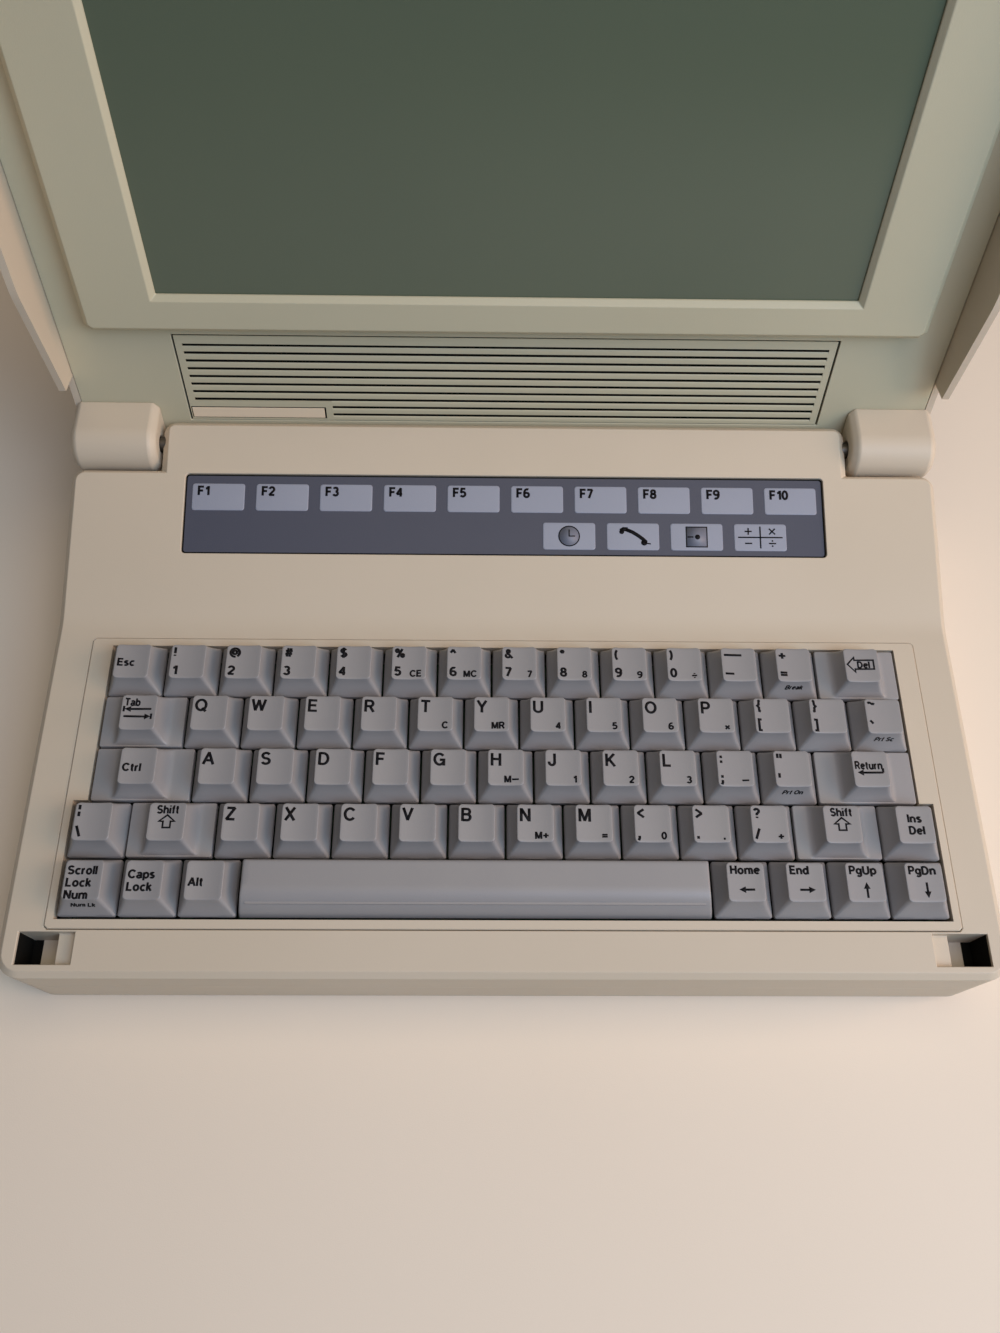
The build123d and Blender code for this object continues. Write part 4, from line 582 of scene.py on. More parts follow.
GLYPHS = {
    "A": (0.72, [[(0.03, 0), (0.36, 0.95), (0.69, 0)], [(0.16, 0.32), (0.56, 0.32)]]),
    "B": (
        0.64,
        [
            UPRIGHT,
            [(0.07, 0.93), *bow(0.36, 0.725, 0.19, 0.205, 90, -90), (0.07, 0.52)],
            [(0.07, 0.52), *bow(0.37, 0.295, 0.21, 0.225, 90, -90), (0.07, 0.07)],
        ],
    ),
    "C": (0.74, [bow(0.4, 0.5, 0.33, 0.43, 38, 322)]),
    "D": (0.7, [UPRIGHT, [(0.07, 0.93), *bow(0.3, 0.5, 0.33, 0.43, 90, -90), (0.07, 0.07)]]),
    "E": (0.6, [[(0.58, 0.93), (0.07, 0.93), (0.07, 0.07), (0.6, 0.07)], [(0.07, 0.52), (0.54, 0.52)]]),
    "F": (0.56, [[(0.56, 0.93), (0.07, 0.93), (0.07, 0)], [(0.07, 0.5), (0.5, 0.5)]]),
    "G": (0.76, [bow(0.4, 0.5, 0.33, 0.43, 40, 330), [(0.42, 0.46), (0.7, 0.46), (0.7, 0)]]),
    "H": (0.68, [UPRIGHT, [(0.61, 0), (0.61, 1)], [(0.07, 0.53), (0.61, 0.53)]]),
    "I": (0.14, [UPRIGHT]),
    "J": (0.5, [[(0.43, 1), *bow(0.24, 0.27, 0.19, 0.2, 0, -180), (0.05, 0.34)]]),
    "K": (0.66, [UPRIGHT, [(0.6, 1), (0.1, 0.38)], [(0.25, 0.55), (0.63, 0)]]),
    "L": (0.54, [[(0.07, 1), (0.07, 0.07), (0.54, 0.07)]]),
    "M": (0.8, [UPRIGHT, [(0.73, 0), (0.73, 1)], [(0.1, 0.97), (0.4, 0.08), (0.7, 0.97)]]),
    "N": (0.68, [UPRIGHT, [(0.61, 0), (0.61, 1)], [(0.08, 0.96), (0.6, 0.04)]]),
    "O": (0.78, [bow(0.39, 0.5, 0.33, 0.43)]),
    "P": (0.62, [UPRIGHT, [(0.07, 0.93), *bow(0.35, 0.69, 0.21, 0.24, 90, -90), (0.07, 0.45)]]),
    "Q": (0.78, [bow(0.39, 0.5, 0.33, 0.43), [(0.46, 0.26), (0.73, -0.02)]]),
    "R": (
        0.66,
        [
            UPRIGHT,
            [(0.07, 0.93), *bow(0.36, 0.7, 0.21, 0.23, 90, -90), (0.07, 0.47)],
            [(0.36, 0.47), (0.62, 0)],
        ],
    ),
    "S": (0.64, [ESS]),
    "T": (0.64, [[(0, 0.93), (0.64, 0.93)], [(0.32, 0.93), (0.32, 0)]]),
    "U": (0.68, [[(0.07, 1), *bow(0.34, 0.33, 0.27, 0.26, 180, 360), (0.61, 1)]]),
    "V": (0.66, [[(0.03, 1), (0.33, 0.08), (0.63, 1)]]),
    "W": (0.94, [[(0.03, 1), (0.25, 0.09), (0.47, 0.93), (0.69, 0.09), (0.91, 1)]]),
    "X": (0.66, [[(0.04, 1), (0.62, 0)], [(0.62, 1), (0.04, 0)]]),
    "Y": (0.66, [[(0.03, 1), (0.33, 0.44), (0.63, 1)], [(0.33, 0.46), (0.33, 0)]]),
    "Z": (0.6, [[(0.04, 0.93), (0.55, 0.93), (0.05, 0.07), (0.58, 0.07)]]),
    "a": (0.54, [[*bow(0.27, 0.51, 0.2, 0.145, 165, 0), (0.47, 0)], bow(0.25, 0.21, 0.19, 0.15)]),
    "b": (0.56, [UPRIGHT, SMALL_BOWL]),
    "c": (0.52, [bow(0.3, 0.36, 0.23, 0.295, 45, 315)]),
    "d": (0.58, [[(0.51, 0), (0.51, 1)], bow(0.28, 0.36, 0.22, 0.295)]),
    "e": (0.56, [[(0.07, 0.38), (0.53, 0.38)], bow(0.3, 0.36, 0.23, 0.295, 4, 315)]),
    "f": (0.34, [[(0.17, 0), *bow(0.32, 0.78, 0.15, 0.15, 180, 85)], [(0, 0.66), (0.34, 0.66)]]),
    "g": (0.58, [bow(0.28, 0.38, 0.22, 0.275), [(0.51, 0.72), *bow(0.29, -0.04, 0.22, 0.16, 0, -150)]]),
    "h": (0.57, [UPRIGHT, SMALL_ARCH]),
    "i": (0.14, [SMALL_UPRIGHT, [(0.07, 0.86), (0.07, 1)]]),
    "k": (0.52, [UPRIGHT, [(0.45, 0.72), (0.09, 0.3)], [(0.22, 0.44), (0.49, 0)]]),
    "l": (0.14, [UPRIGHT]),
    "m": (0.86, [SMALL_UPRIGHT, SMALL_ARCH[:], [*bow(0.64, 0.42, 0.16, 0.235, 160, 0), (0.8, 0)]]),
    "n": (0.57, [SMALL_UPRIGHT, SMALL_ARCH]),
    "o": (0.6, [SMALL_BOWL]),
    "p": (0.56, [[(0.07, -0.25), (0.07, 0.72)], SMALL_BOWL]),
    "r": (0.34, [SMALL_UPRIGHT, bow(0.28, 0.42, 0.21, 0.235, 165, 85)]),
    "s": (0.5, [SMALL_ESS]),
    "t": (0.34, [[(0.16, 0.93), *bow(0.29, 0.21, 0.13, 0.14, 180, 280)], [(0, 0.66), (0.33, 0.66)]]),
    "u": (0.57, [[(0.5, 0), (0.5, 0.72)], [(0.07, 0.72), *bow(0.28, 0.3, 0.21, 0.235, 180, 340)]]),
    "0": (0.6, [bow(0.3, 0.5, 0.23, 0.43)]),
    "1": (0.42, [[(0.36, 0), (0.36, 1)], [(0.07, 0.72), (0.2, 0.75), (0.33, 0.92)]]),
    "2": (0.6, [[*bow(0.3, 0.69, 0.23, 0.24, 170, -35), (0.06, 0.07), (0.57, 0.07)]]),
    "3": (0.6, [bow(0.29, 0.72, 0.2, 0.21, 155, -90), bow(0.29, 0.29, 0.23, 0.22, 90, -160)]),
    "4": (0.62, [[(0.44, 0), (0.44, 0.93), (0.05, 0.28), (0.6, 0.28)]]),
    "5": (0.6, [[(0.54, 0.93), (0.16, 0.93), (0.1, 0.5), *bow(0.29, 0.33, 0.24, 0.255, 125, -150)]]),
    "6": (0.6, SIX),
    "7": (0.58, [[(0.03, 0.93), (0.53, 0.93), (0.2, 0)]]),
    "8": (0.6, [bow(0.3, 0.73, 0.19, 0.2), bow(0.3, 0.29, 0.23, 0.22)]),
    "9": (0.6, [[(0.6 - x, 1 - y) for x, y in path] for path in SIX]),
    "!": (0.14, [[(0.07, 0.3), (0.07, 1)], [(0.07, 0), (0.07, 0.15)]]),
    "@": (
        1.0,
        [
            bow(0.5, 0.45, 0.43, 0.48, -60, 280),
            bow(0.48, 0.47, 0.17, 0.2),
            [(0.68, 0.7), (0.66, 0.28)],
        ],
    ),
    "#": (
        0.72,
        [
            [(0.18, 0), (0.3, 1)],
            [(0.44, 0), (0.56, 1)],
            [(0.05, 0.67), (0.7, 0.67)],
            [(0.02, 0.33), (0.67, 0.33)],
        ],
    ),
    "$": (0.64, [ESS, [(0.33, -0.1), (0.33, 1.1)]]),
    "%": (0.9, [bow(0.2, 0.76, 0.13, 0.17), bow(0.7, 0.24, 0.13, 0.17), [(0.24, 0), (0.66, 1)]]),
    "^": (0.54, [[(0.05, 0.55), (0.27, 0.93), (0.49, 0.55)]]),
    "&": (
        0.72,
        [
            [(0.7, 0), (0.2, 0.64), *bow(0.31, 0.78, 0.13, 0.15, 200, -30), (0.16, 0.42)],
            bow(0.27, 0.26, 0.2, 0.19, 130, 350),
        ],
    ),
    "*": (0.44, [[(0.22, 0.56), (0.22, 1)], [(0.03, 0.67), (0.41, 0.89)], [(0.03, 0.89), (0.41, 0.67)]]),
    "(": (0.3, [bow(0.38, 0.43, 0.3, 0.62, 118, 242)]),
    ")": (0.3, mirrored([bow(0.38, 0.43, 0.3, 0.62, 118, 242)], 0.3)),
    "—": (1.7, [[(0, 0.5), (1.7, 0.5)]]),
    "–": (0.85, [[(0, 0.45), (0.85, 0.45)]]),
    "+": (0.7, [[(0.02, 0.45), (0.68, 0.45)], [(0.35, 0.12), (0.35, 0.78)]]),
    "=": (0.7, [[(0.02, 0.32), (0.68, 0.32)], [(0.02, 0.6), (0.68, 0.6)]]),
    "{": (0.38, [BRACE]),
    "}": (0.38, mirrored([BRACE], 0.38)),
    "[": (0.34, [[(0.34, 1.05), (0.08, 1.05), (0.08, -0.13), (0.34, -0.13)]]),
    "]": (0.34, [[(0, 1.05), (0.26, 1.05), (0.26, -0.13), (0, -0.13)]]),
    "~": (0.66, [[(0.02, 0.78), (0.12, 0.9), (0.24, 0.9), (0.42, 0.76), (0.54, 0.76), (0.64, 0.88)]]),
    "`": (0.34, [[(0.04, 1.0), (0.3, 0.66)]]),
    ":": (0.24, [DOT, [(0.12, 0.48), (0.12, 0.76)]]),
    ";": (0.24, [COMMA, [(0.12, 0.48), (0.12, 0.76)]]),
    '"': (0.5, [[(0.1, 0.52), (0.1, 1)], [(0.4, 0.52), (0.4, 1)]]),
    "'": (0.22, [[(0.11, 0.52), (0.11, 1)]]),
    "<": (0.62, [[(0.6, 0.86), (0.06, 0.45), (0.6, 0.04)]]),
    ">": (0.62, [[(0.02, 0.86), (0.56, 0.45), (0.02, 0.04)]]),
    ",": (0.24, [COMMA]),
    ".": (0.24, [DOT]),
    "?": (
        0.56,
        [
            [*bow(0.28, 0.72, 0.21, 0.21, 170, -50), (0.28, 0.42), (0.28, 0.28)],
            [(0.28, 0), (0.28, 0.15)],
        ],
    ),
    "/": (0.42, [[(0.03, -0.03), (0.39, 1.03)]]),
    "\\": (0.42, [[(0.39, -0.03), (0.03, 1.03)]]),
    "¦": (0.14, [[(0.07, 0.58), (0.07, 1.05)], [(0.07, -0.1), (0.07, 0.37)]]),
    "×": (0.56, [[(0.03, 0.1), (0.53, 0.62)], [(0.53, 0.1), (0.03, 0.62)]]),
    "÷": (0.7, [[(0.02, 0.4), (0.68, 0.4)], [(0.35, 0.62), (0.35, 0.78)], [(0.35, 0.02), (0.35, 0.18)]]),
    " ": (0.2, []),
}


MITRE_LIMIT = 0.5
SHARP_TURN = -0.2
OVERLAP = 0.03


def stroke(path, thick, closed=False):
    """Points and faces of a line of even thickness along a path, with mitred corners."""
    count = len(path)
    points = []
    for number, (x, y) in enumerate(path):
        before = path[number - 1] if closed or number > 0 else None
        after = path[(number + 1) % count] if closed or number < count - 1 else None
        first = Vector((x - before[0], y - before[1])).normalized() if before else None
        second = Vector((after[0] - x, after[1] - y)).normalized() if after else None
        first = first if first is not None else second
        second = second if second is not None else first
        along = (first + second).normalized()
        reach = thick / 2 / max(MITRE_LIMIT, along.dot(first))
        points.append((x - along.y * reach, y + along.x * reach))
        points.append((x + along.y * reach, y - along.x * reach))
    faces = []
    for number in range(count if closed else count - 1):
        here = 2 * number
        there = 2 * ((number + 1) % count)
        faces.append((here, here + 1, there + 1, there))
    return points, faces


def pieces_of(path):
    """A path cut into pieces at its sharp corners, each reaching a little past its corner."""
    pieces = [[path[0]]]
    for number in range(1, len(path)):
        pieces[-1].append(path[number])
        if number == len(path) - 1:
            break
        here = Vector(path[number])
        before = (here - Vector(path[number - 1])).normalized()
        after = (Vector(path[number + 1]) - here).normalized()
        if before.dot(after) < SHARP_TURN:
            pieces[-1][-1] = tuple(here + before * OVERLAP)
            pieces.append([tuple(here - after * OVERLAP)])
    return pieces


def letters(text, pen, slant=0.0):
    """Points, faces and width of a text whose capitals are 1 high, from its left end and baseline."""
    points = []
    faces = []
    x = 0.0
    for letter in text:
        width, paths = GLYPHS[letter]
        for piece in [piece for path in paths for piece in pieces_of(path)]:
            more, quads = stroke(piece, pen)
            start = len(points)
            points += [(x + px + slant * py, py) for px, py in more]
            faces += [tuple(start + number for number in quad) for quad in quads]
        x += width + LETTER_GAP
    return points, faces, x - LETTER_GAP


def disc(x, y, radius, steps=24):
    """Points and one face of a disc."""
    points = []
    for step in range(steps):
        angle = 2 * math.pi * step / steps
        points.append((x + radius * math.cos(angle), y + radius * math.sin(angle)))
    return points, [tuple(range(steps))]


class Print:
    """Flat marks gathered for one surface, each point put on it by a function."""

    def __init__(self):
        self.skin = Skin()

    def marks(self, shape, to_surface):
        """Adds a flat shape."""
        points, faces = shape
        self.skin.add([to_surface(x, y) for x, y in points], faces)

    def text(self, text, height, x, top, to_surface, align="left", slant=0.0, squeeze=LETTER_SQUEEZE):
        """Adds a text whose capitals reach up to top, at the left, right or middle of x."""
        points, faces, width = letters(text, PEN if height == CAP_LETTER else SMALL_PEN, slant)
        wide = height * squeeze
        width *= wide
        shift = {"left": 0, "right": -width, "middle": -width / 2}[align]
        moved = [(x + shift + px * wide, top - height + py * height) for px, py in points]
        self.marks((moved, faces), to_surface)


def on_top(key_x, key_y):
    """Puts flat marks on the trough of a key's top."""

    def to_surface(x, y):
        return (key_x + x, key_y + y, dish(x) + INK_RISE)

    return to_surface


def on_front(key_x, key_y):
    """Puts flat marks on a key's front face, y up from the face's foot."""

    def to_surface(x, y):
        rim = dish(x) - EDGE_ROUNDING[0][1]
        part = y / (rim - SKIRT_Z)
        return (key_x + x, key_y + front_line(part) - INK_RISE, SKIRT_Z + y)

    return to_surface


SECOND_MARKS = {
    "t": "C",
    "y": "MR",
    "u": "4",
    "i": "5",
    "o": "6",
    "p": "×",
    "h": "M–",
    "j": "1",
    "k": "2",
    "l": "3",
    "n": "M+",
    "m": "=",
    "5": "CE",
    "6": "MC",
    "7": "7",
    "8": "8",
    "9": "9",
    "0": "÷",
    "semicolon": "–",
    "comma": "0",
    "period": ".",
    "slash": "+",
}
STACKED_MARKS = {
    "1": ("!", "1"),
    "2": ("@", "2"),
    "3": ("#", "3"),
    "4": ("$", "4"),
    "5": ("%", "5"),
    "6": ("^", "6"),
    "7": ("&", "7"),
    "8": ("*", "8"),
    "9": ("(", "9"),
    "0": (")", "0"),
    "equals": ("+", "="),
    "left_bracket": ("{", "["),
    "right_bracket": ("}", "]"),
    "tilde": ("~", "`"),
    "semicolon": (":", ";"),
    "quote": ('"', "'"),
    "comma": ("<", ","),
    "period": (">", "."),
    "slash": ("?", "/"),
    "backslash": ("¦", "\\"),
    "minus": ("—", "–"),
}
FRONT_MARKS = {"equals": "Break", "tilde": "Prt Sc", "quote": "Prt On", "scroll_lock": "Num Lk"}
WORDS = {
    "escape": [("Esc", LEFT, 1.7)],
    "tab": [("Tab", LEFT, 5.8)],
    "control": [("Ctrl", LEFT, 1.6)],
    "return": [("Return", LEFT - 0.2, 3.4)],
    "insert": [("Ins", -2.2, 4.2), ("Del", -2.2, 0.2)],
    "scroll_lock": [("Scroll", LEFT - 0.2, 5.2), ("Lock", LEFT - 0.2, 1.3), ("Num", LEFT - 0.2, -2.6)],
    "caps_lock": [("Caps", LEFT - 0.1, 4.0), ("Lock", LEFT - 0.1, 0.0)],
    "alt": [("Alt", LEFT, 1.6)],
    "home": [("Home", -4.7, 6.0)],
    "end": [("End", -4.7, 6.0)],
    "page_up": [("PgUp", -4.7, 6.0)],
    "page_down": [("PgDn", -4.7, 6.0)],
}
LINE = 0.7
SIGN_LINE = 0.58
SHIFT_SIGN = [(0, 3.0), (2.5, 0.9), (1.2, 0.9), (1.2, -1.2), (-1.2, -1.2), (-1.2, 0.9), (-2.5, 0.9)]
DELETE_SIGN = [
    (-5.0, 1.0),
    (-2.4, 3.8),
    (-2.4, 2.7),
    (4.2, 2.7),
    (4.2, -0.7),
    (-2.4, -0.7),
    (-2.4, -1.8),
]
ARROW_Y = -1.7
ARROW_LENGTH = 5.0
ARROWS = {"home": (0.2, 180), "end": (0.5, 0), "page_up": (0.4, 90), "page_down": (0.6, 270)}


def arrow(x, y, length, direction, head=1.4):
    """A solid arrow through a point: a line with a filled head, turned to a direction in degrees."""
    turn = math.radians(direction)
    ahead = Vector((math.cos(turn), math.sin(turn)))
    aside = Vector((-ahead.y, ahead.x))
    middle = Vector((x, y))
    tip = middle + ahead * length / 2
    neck = tip - ahead * head * 1.5
    tail = middle - ahead * length / 2
    line = stroke([tuple(tail), tuple(neck)], LINE)
    points = [tuple(tip), tuple(neck + aside * head * 0.75), tuple(neck - aside * head * 0.75)]
    return line, (points, [(0, 1, 2)])


def add_command_marks(name, ink, surface):
    """Arrows and outlined signs on the command keys."""
    shapes = []
    if name == "tab":
        shapes += arrow(-0.3, 1.9, 9.0, 180)
        shapes += arrow(-0.3, -0.8, 9.0, 0)
        shapes.append(stroke([(-5.0, 2.9), (-5.0, 0.9)], LINE))
        shapes.append(stroke([(4.4, 0.2), (4.4, -1.8)], LINE))
    if name == "return":
        shapes += arrow(-0.2, -0.5, 8.6, 180)
        shapes.append(stroke([(4.1, -0.5), (4.1, 1.0)], LINE))
    if name in ("left_shift", "right_shift"):
        ink.text("Shift", CAP_WORD, 0, 6.2, surface, "middle", squeeze=1.0)
        shapes.append(stroke(SHIFT_SIGN, SIGN_LINE, closed=True))
    if name == "backspace":
        ink.text("Del", 2.5, 0.7, 2.25, surface, "middle", squeeze=1.0)
        shapes.append(stroke(DELETE_SIGN, SIGN_LINE, closed=True))
    if name in ARROWS:
        x, direction = ARROWS[name]
        shapes += arrow(x, ARROW_Y, ARROW_LENGTH, direction)
    for shape in shapes:
        ink.marks(shape, surface)


def add_legends():
    """The legends of each body as one piece."""
    prints = {}
    for name, x, y, _ in key_places():
        if name == "space":
            continue
        ink = prints.setdefault(body_of_key(name), Print())
        surface = on_top(x, y)
        if len(name) == 1 and name.isalpha():
            ink.text(name.upper(), CAP_LETTER, LEFT, 5.7, surface)
        if name in STACKED_MARKS:
            rear, front = STACKED_MARKS[name]
            ink.text(rear, CAP_SIGN, LEFT, 6.0, surface)
            ink.text(front, CAP_SIGN, LEFT, -0.9, surface)
        if name in SECOND_MARKS:
            ink.text(SECOND_MARKS[name], CAP_SMALL, RIGHT, -2.1, surface, "right")
        for word, left, top in WORDS.get(name, []):
            squeeze = NARROW_WORD if name in ("return", "tab") else LETTER_SQUEEZE
            ink.text(word, CAP_WORD, left, top, surface, squeeze=squeeze)
        if name in FRONT_MARKS:
            ink.text(FRONT_MARKS[name], CAP_FRONT_WORD, 0, 5.4, on_front(x, y), "middle", slant=0.25)
        add_command_marks(name, ink, surface)
    for body, ink in prints.items():
        ink.skin.piece("legend_" + body.replace("key_", ""), ink_black, body, "keycap", thick=INK_THICK)


ink_black = plastic("legend_ink", (15, 14, 18), (12, 11, 15), rough=0.7, shine=0.2)
add_legends()

# Function pads: raised parts of the membrane, with generic signs

SLOPE_RISE = 18
SLOPE_RUN = 76
SLOPE = math.atan2(SLOPE_RISE, SLOPE_RUN)
PANEL_FRONT = (131.4, 25.4 * SLOPE_RISE / SLOPE_RUN)
PANEL_HALF = 117.75
PANEL_LENGTH = 30.4
PANEL_FLOOR = 1.0
MEMBRANE_DEPTH = 0.85
BORDER = 0.5
PAD_FACE_DEPTH = 0.65
PAD_EDGE = [(0.0, 0.25), (0.04, 0.15), (0.12, 0.06), (0.25, 0.02), (0.45, 0.0)]
PAD_WIDTH = 19.3
PAD_LENGTH = 10.4
PAD_PITCH = 23.46
FIRST_PAD_X = -115.22
FIRST_SIGN_X = 13.81
PAD_ROW_FRONT = 2.4
PAD_ROW_REAR = 16.5
PAD_LETTER = 3.5
OUTLINE = 0.4


def on_slope(x, up, below):
    """A point of the rear deck: up its slope from the panel's front edge, and below its surface."""
    y = PANEL_FRONT[0] + up * math.cos(SLOPE) + below * math.sin(SLOPE)
    z = PANEL_FRONT[1] + up * math.sin(SLOPE) - below * math.cos(SLOPE)
    return (x, y, z)


def pad_shape(left, front):
    """A pad with a soft edge."""
    middle = left + PAD_WIDTH / 2
    rings = []
    for inset, drop in PAD_EDGE:
        half = PAD_WIDTH / 2 - inset
        ring = outline(half, front + inset, front + PAD_LENGTH - inset, 1.0, 1, 1)
        rings.append([on_slope(middle + x, up, PAD_FACE_DEPTH + drop) for x, up in ring])
    return loft(rings)


def plate_shape(inset, bottom, top):
    """A thin plate in the panel's recess, between two depths."""
    rings = []
    for more, below in ((0, bottom), (0, top + 0.04), (0.04, top)):
        front = inset + more
        ring = outline(PANEL_HALF - front, front, PANEL_LENGTH - front, 1.0, 1, 1)
        rings.append([on_slope(x, up, below) for x, up in ring])
    return loft(rings)


def clock_sign(x, y):
    """A clock face: a grey disc with a dark rim and two hands."""
    rim = bow(x, y, 3.8, 3.8)
    dark = [stroke(rim, OUTLINE, closed=True), stroke([(x, y + 2.5), (x, y), (x + 2.2, y)], 0.45)]
    return [disc(x, y, 3.8)], dark


def telephone_sign(x, y):
    """A telephone handset: a thick bent bar, a blob at each end and a bit of cord."""
    bar = [(x - 2.6, y + 2.7), (x, y + 1.6), (x + 2.0, y + 0.3), (x + 3.8, y - 1.1), (x + 4.9, y - 2.2)]
    ear = [(x - 4.5, y + 2.1), (x - 3.4, y + 2.8), (x - 1.9, y + 2.7)]
    cord = [(x + 4.6, y - 2.5), (x + 6.5, y - 2.8)]
    ends = [disc(x - 4.1, y + 1.8, 0.9, 16), disc(x + 4.1, y - 2.3, 1.15, 16)]
    return [], [stroke(bar, 1.35), stroke(ear, 1.6), stroke(cord, 0.45), *ends]


def exit_sign(x, y):
    """A square with a dot and a dash."""
    square = [(x - 3.8, y - 3.8), (x + 3.8, y - 3.8), (x + 3.8, y + 3.8), (x - 3.8, y + 3.8)]
    grey = [(square, [(0, 1, 2, 3)])]
    dash = stroke([(x - 3.4, y), (x - 1.2, y)], 0.5)
    dark = [stroke(square, OUTLINE, closed=True), disc(x + 0.3, y, 0.95, 16), dash]
    return grey, dark


def sums_sign(x, y):
    """A cross of lines with the four signs of sums."""
    left, right, high, low = x - 4.4, x + 4.4, y + 2.3, y - 2.3
    lines = [
        [(x - 8.2, y), (x + 8.2, y)],
        [(x, y - 4.2), (x, y + 4.2)],
        [(left - 1.3, high), (left + 1.3, high)],
        [(left, high - 1.3), (left, high + 1.3)],
        [(right - 1.1, high - 1.1), (right + 1.1, high + 1.1)],
        [(right - 1.1, high + 1.1), (right + 1.1, high - 1.1)],
        [(left - 1.3, low), (left + 1.3, low)],
        [(right - 1.3, low), (right + 1.3, low)],
    ]
    dark = [stroke(line, 0.5) for line in lines]
    dark.append(disc(right, low + 1.0, 0.32, 12))
    dark.append(disc(right, low - 1.0, 0.32, 12))
    return [], dark


def add_pads():
    """The fourteen pads and their signs, fixed to the base."""
    skin = Skin()
    dark = Print()
    grey = Print()

    def on_pad(x, up):
        return on_slope(x, up, PAD_FACE_DEPTH - INK_RISE)

    def on_dark(x, up):
        return on_slope(x, up, PAD_FACE_DEPTH - 3 * INK_RISE)

    for number in range(10):
        left = FIRST_PAD_X + number * PAD_PITCH
        skin.add(*pad_shape(left, PAD_ROW_REAR))
        top = PAD_ROW_REAR + PAD_LENGTH - 1.1
        dark.text(f"F{number + 1}", PAD_LETTER, left + 2.2, top, on_dark, squeeze=1.02)
    signs = [clock_sign, telephone_sign, exit_sign, sums_sign]
    for number, sign in enumerate(signs):
        left = FIRST_SIGN_X + number * PAD_PITCH
        skin.add(*pad_shape(left, PAD_ROW_FRONT))
        fills, lines = sign(left + PAD_WIDTH / 2, PAD_ROW_FRONT + PAD_LENGTH / 2)
        for shape in fills:
            grey.marks(shape, on_pad)
        for shape in lines:
            dark.marks(shape, on_dark)
    skin.piece("pads", pad, "base", "pads", ["function_pads"])
    membrane = Skin()
    membrane.add(*plate_shape(BORDER, PANEL_FLOOR, MEMBRANE_DEPTH))
    membrane.piece("membrane", panel, "base", "panel", ["function_panel"])
    # Painted shade: a near-black plate under the membrane's edge shows as a dark line in the gap around
    # it, in place of the shaded recess walls
    shade_border = Skin()
    shade_border.add(*plate_shape(0, PANEL_FLOOR, MEMBRANE_DEPTH + 0.1))
    shade_border.piece("membrane_painted_shade", shade, "base", "panel")
    dark.skin.piece("pad_signs", ink_black, "base", "pads", thick=INK_THICK)
    grey_ink = plastic("sign_ink", (120, 123, 137), (114, 117, 131), rough=0.5)
    grey.skin.piece("pad_sign_fills", grey_ink, "base", "pads", thick=INK_THICK)


add_pads()

# Ribbed strip of the lid: curved slats over a near-black floor of painted shade for the depth of the
# slots, with room for the bare plate

HINGE_Y = 175.0
HINGE_Z = 11.5
LID_ANGLE = math.radians(105)
FACE_BEHIND_HINGE = 8.8
STRIP_HALF = 117.6
STRIP_SEAT_HALF = 118.0
STRIP_FOOT = 5.2
STRIP_HEAD = 41.2
STRIP_THICK = 1.6
FLOOR_DEPTH = 0.36
SLAT_PITCH = 3.3
SLOT_HALF = 0.55
SLOT_END = 115.2
PLATE_LEFT = -117.35
PLATE_RIGHT = -67.1
PLATE_SLOT_END = -64.6
PLATE_FOOT = 5.85
PLATE_HEAD = 11.0
SLAT_HEAD_CURVE = [(0.9, 0.0), (0.4, 0.04), (0.12, 0.14), (0.0, 0.3)]


def on_lid(x, up, deep):
    """A point of the open lid: up its inner face from the hinge's axis, and deep inside the face."""
    back = FACE_BEHIND_HINGE + deep
    y = HINGE_Y - up * math.cos(LID_ANGLE) + back * math.sin(LID_ANGLE)
    z = HINGE_Z + up * math.sin(LID_ANGLE) + back * math.cos(LID_ANGLE)
    return (x, y, z)


def add_bar(skin, x_from, x_to, section):
    """Adds a bar along x, its cross-section given as points up the lid's face and deep inside it."""
    count = len(section)
    points = [on_lid(x_from, up, deep) for up, deep in section]
    points += [on_lid(x_to, up, deep) for up, deep in section]
    faces = [tuple(range(count)), tuple(reversed(range(count, 2 * count)))]
    for number in range(count):
        after = (number + 1) % count
        faces.append((after, number, count + number, count + after))
    skin.add(points, faces)


def flat_bar(foot, head, top=0.0, bottom=FLOOR_DEPTH + 0.05):
    """The cross-section of a plain bar."""
    return [(foot, bottom), (foot, top), (head, top), (head, bottom)]


def slat(foot, head):
    """The cross-section of a slat whose upper edge curves back into its slot."""
    bottom = FLOOR_DEPTH + 0.05
    curve = [(head - inward, deep) for inward, deep in SLAT_HEAD_CURVE]
    return [(foot, bottom), (foot, 0.2), (foot + 0.12, 0.03), *curve, (head, bottom)]


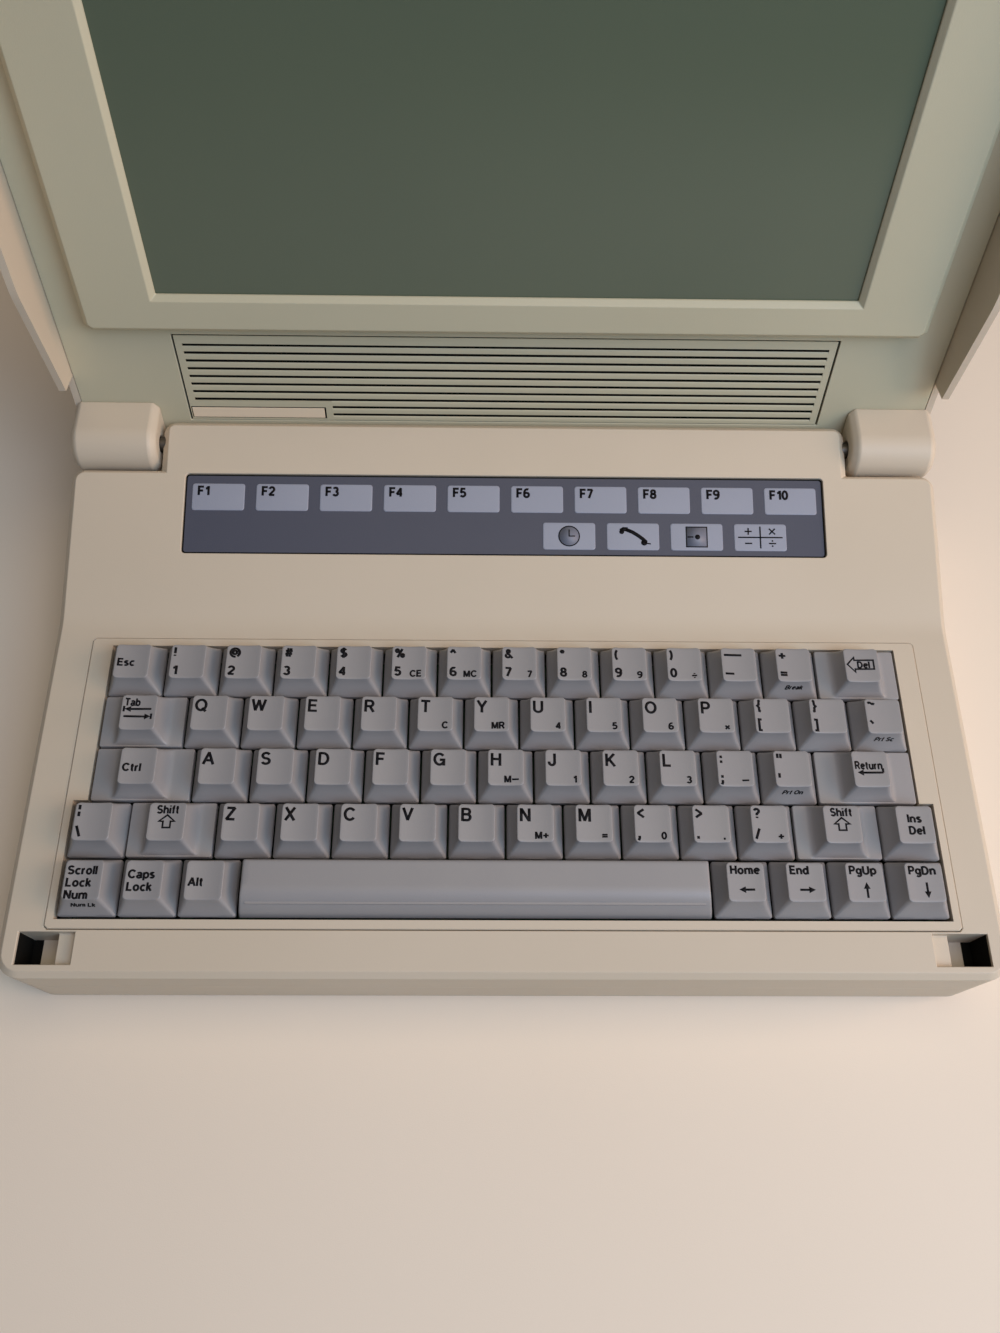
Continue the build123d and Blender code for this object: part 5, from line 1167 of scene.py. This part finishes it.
def add_strip():
    """The slats, the frame that joins their ends, and a near-black floor under them that paints the
    shade deep in the slots.
    """
    slats = Skin()
    slots = []
    while STRIP_FOOT + SLAT_PITCH * (len(slots) + 1.25) < STRIP_HEAD:
        slots.append(STRIP_FOOT + SLAT_PITCH * (len(slots) + 0.75))
    foot = STRIP_FOOT
    for slot in slots:
        low_slat = slot < PLATE_HEAD + SLOT_HALF
        left = PLATE_SLOT_END if low_slat else -SLOT_END
        add_bar(slats, left, SLOT_END, slat(foot, slot - SLOT_HALF))
        foot = slot + SLOT_HALF
    add_bar(slats, -SLOT_END, SLOT_END, flat_bar(foot, STRIP_HEAD))
    add_bar(slats, SLOT_END, STRIP_HALF, flat_bar(STRIP_FOOT, STRIP_HEAD))
    add_bar(slats, -STRIP_HALF, -SLOT_END, flat_bar(PLATE_HEAD, STRIP_HEAD))
    add_bar(slats, -SLOT_END, PLATE_SLOT_END, flat_bar(PLATE_HEAD, slots[2] - SLOT_HALF))
    add_bar(slats, PLATE_RIGHT, PLATE_SLOT_END, flat_bar(STRIP_FOOT, PLATE_HEAD))
    add_bar(slats, -STRIP_HALF, PLATE_RIGHT, flat_bar(STRIP_FOOT, PLATE_FOOT))
    add_bar(slats, -STRIP_HALF, PLATE_LEFT, flat_bar(PLATE_FOOT, PLATE_HEAD))
    slats.piece("slats", lid_inner, "lid", "lid_inner", ["ribbed_panel"], sharp=50)
    # Painted shade: the near-black floor under the slats stands in for the shade deep in the slots
    floor = Skin()
    section = flat_bar(STRIP_FOOT, STRIP_HEAD, FLOOR_DEPTH, STRIP_THICK)
    add_bar(floor, -STRIP_SEAT_HALF, STRIP_SEAT_HALF, section)
    floor.piece("slot_painted_shade", shade, "lid", "lid_inner")


add_strip()

# Lid corners: a small gusset in each inner corner of the lid's cover

GUSSET_X = 157.5
GUSSET_FOOT, GUSSET_HEAD = -2.5, 190.5
GUSSET_DEEP = 9.7
GUSSET_NEAR, GUSSET_FAR = 0.9, 3.0


def add_gussets():
    """A cut-off corner of plastic between two planes that cross the cover's corner."""
    gussets = Skin()
    for side in (-1, 1):
        for end, up in ((-1, GUSSET_FOOT), (1, GUSSET_HEAD)):
            x = side * GUSSET_X
            rings = []
            for reach in (GUSSET_FAR, GUSSET_NEAR):
                ring = [
                    on_lid(x - side * reach, up, GUSSET_DEEP),
                    on_lid(x, up - end * reach, GUSSET_DEEP),
                    on_lid(x, up, GUSSET_DEEP - reach),
                ]
                rings.append(ring if side * end < 0 else ring[::-1])
            gussets.add(*loft(rings))
    gussets.piece("lid_gussets", finishes["case"], "lid", "case", sharp=20)


add_gussets()

# Latch pockets: painted shade, a thin near-black sheet on the outer wall of each one and the floor
# beside it, for the shade deep in the pocket

POCKET_SHADE_INNER, POCKET_SHADE_OUTER = 150.6, 153.75
POCKET_SHADE_FRONT, POCKET_SHADE_REAR = -13.95, -3.85
POCKET_SHADE_FOOT, POCKET_SHADE_TOP = -13.95, -1.2
POCKET_SHADE_SHEET = 0.12


def add_pocket_shade():
    """The painted shade on the wall and the strip of floor, left and right."""
    shade_sheet = Skin()
    for side in (-1, 1):
        x_in, x_out = side * POCKET_SHADE_INNER, side * POCKET_SHADE_OUTER
        x_wall = x_out - side * POCKET_SHADE_SHEET
        for x0, x1, top in ((x_in, x_wall, POCKET_SHADE_FOOT + POCKET_SHADE_SHEET), (x_wall, x_out, POCKET_SHADE_TOP)):
            left, right = min(x0, x1), max(x0, x1)
            corners = [
                (left, POCKET_SHADE_FRONT),
                (right, POCKET_SHADE_FRONT),
                (right, POCKET_SHADE_REAR),
                (left, POCKET_SHADE_REAR),
            ]
            low = [(x, y, POCKET_SHADE_FOOT) for x, y in corners]
            high = [(x, y, top) for x, y in corners]
            shade_sheet.add(*loft([low, high]))
    # Painted shade: near-black sheets for the shade deep in each pocket, not a rubber part
    shade_sheet.piece("pocket_painted_shade", shade, "base", "rubber", sharp=20)


add_pocket_shade()

# Floor and light


def add_floor():
    """A plain pale floor."""
    mesh = bpy.data.meshes.new("floor")
    reach = 4.0
    corners = [(-reach, -reach, 0), (reach, -reach, 0), (reach, reach, 0), (-reach, reach, 0)]
    mesh.from_pydata(corners, [], [(0, 1, 2, 3)])
    floor = bpy.data.objects.new("floor", mesh)
    mesh.materials.append(plastic("floor_paint", (238, 225, 208), (232, 217, 198), rough=0.7, patch=3))
    bpy.context.scene.collection.objects.link(floor)


LIT_POINT = (0, 0, 0.03)


def add_light(name, position, size, power, colour):
    """A square soft light that faces the machine's middle."""
    data = bpy.data.lights.new(name, "AREA")
    data.size = size
    data.energy = power
    data.color = colour
    light = bpy.data.objects.new(name, data)
    light.location = position
    direction = Vector(LIT_POINT) - Vector(position)
    light.rotation_euler = direction.to_track_quat("-Z", "Y").to_euler()
    bpy.context.scene.collection.objects.link(light)


add_floor()
add_light("lamp", (1.1, -0.2, 0.6), 0.7, 8.4, (1.0, 0.69, 0.51))
add_light("ceiling", (0.15, 0.0, 1.3), 0.8, 3.8, (1.0, 0.86, 0.64))
add_light("window", (0.8, -0.6, 0.8), 0.6, 4.2, (0.42, 0.78, 1.0))
add_light("far_window", (0.3, -0.4, 0.8), 0.5, 2.9, (0.66, 0.74, 1.0))
world = bpy.data.worlds.new("room_air")
world.use_nodes = True
background = world.node_tree.nodes["Background"]
background.inputs["Color"].default_value = (0.93, 0.96, 1.0, 1)
background.inputs["Strength"].default_value = 0.085
bpy.context.scene.world = world
bpy.context.scene.view_settings.view_transform = "Standard"
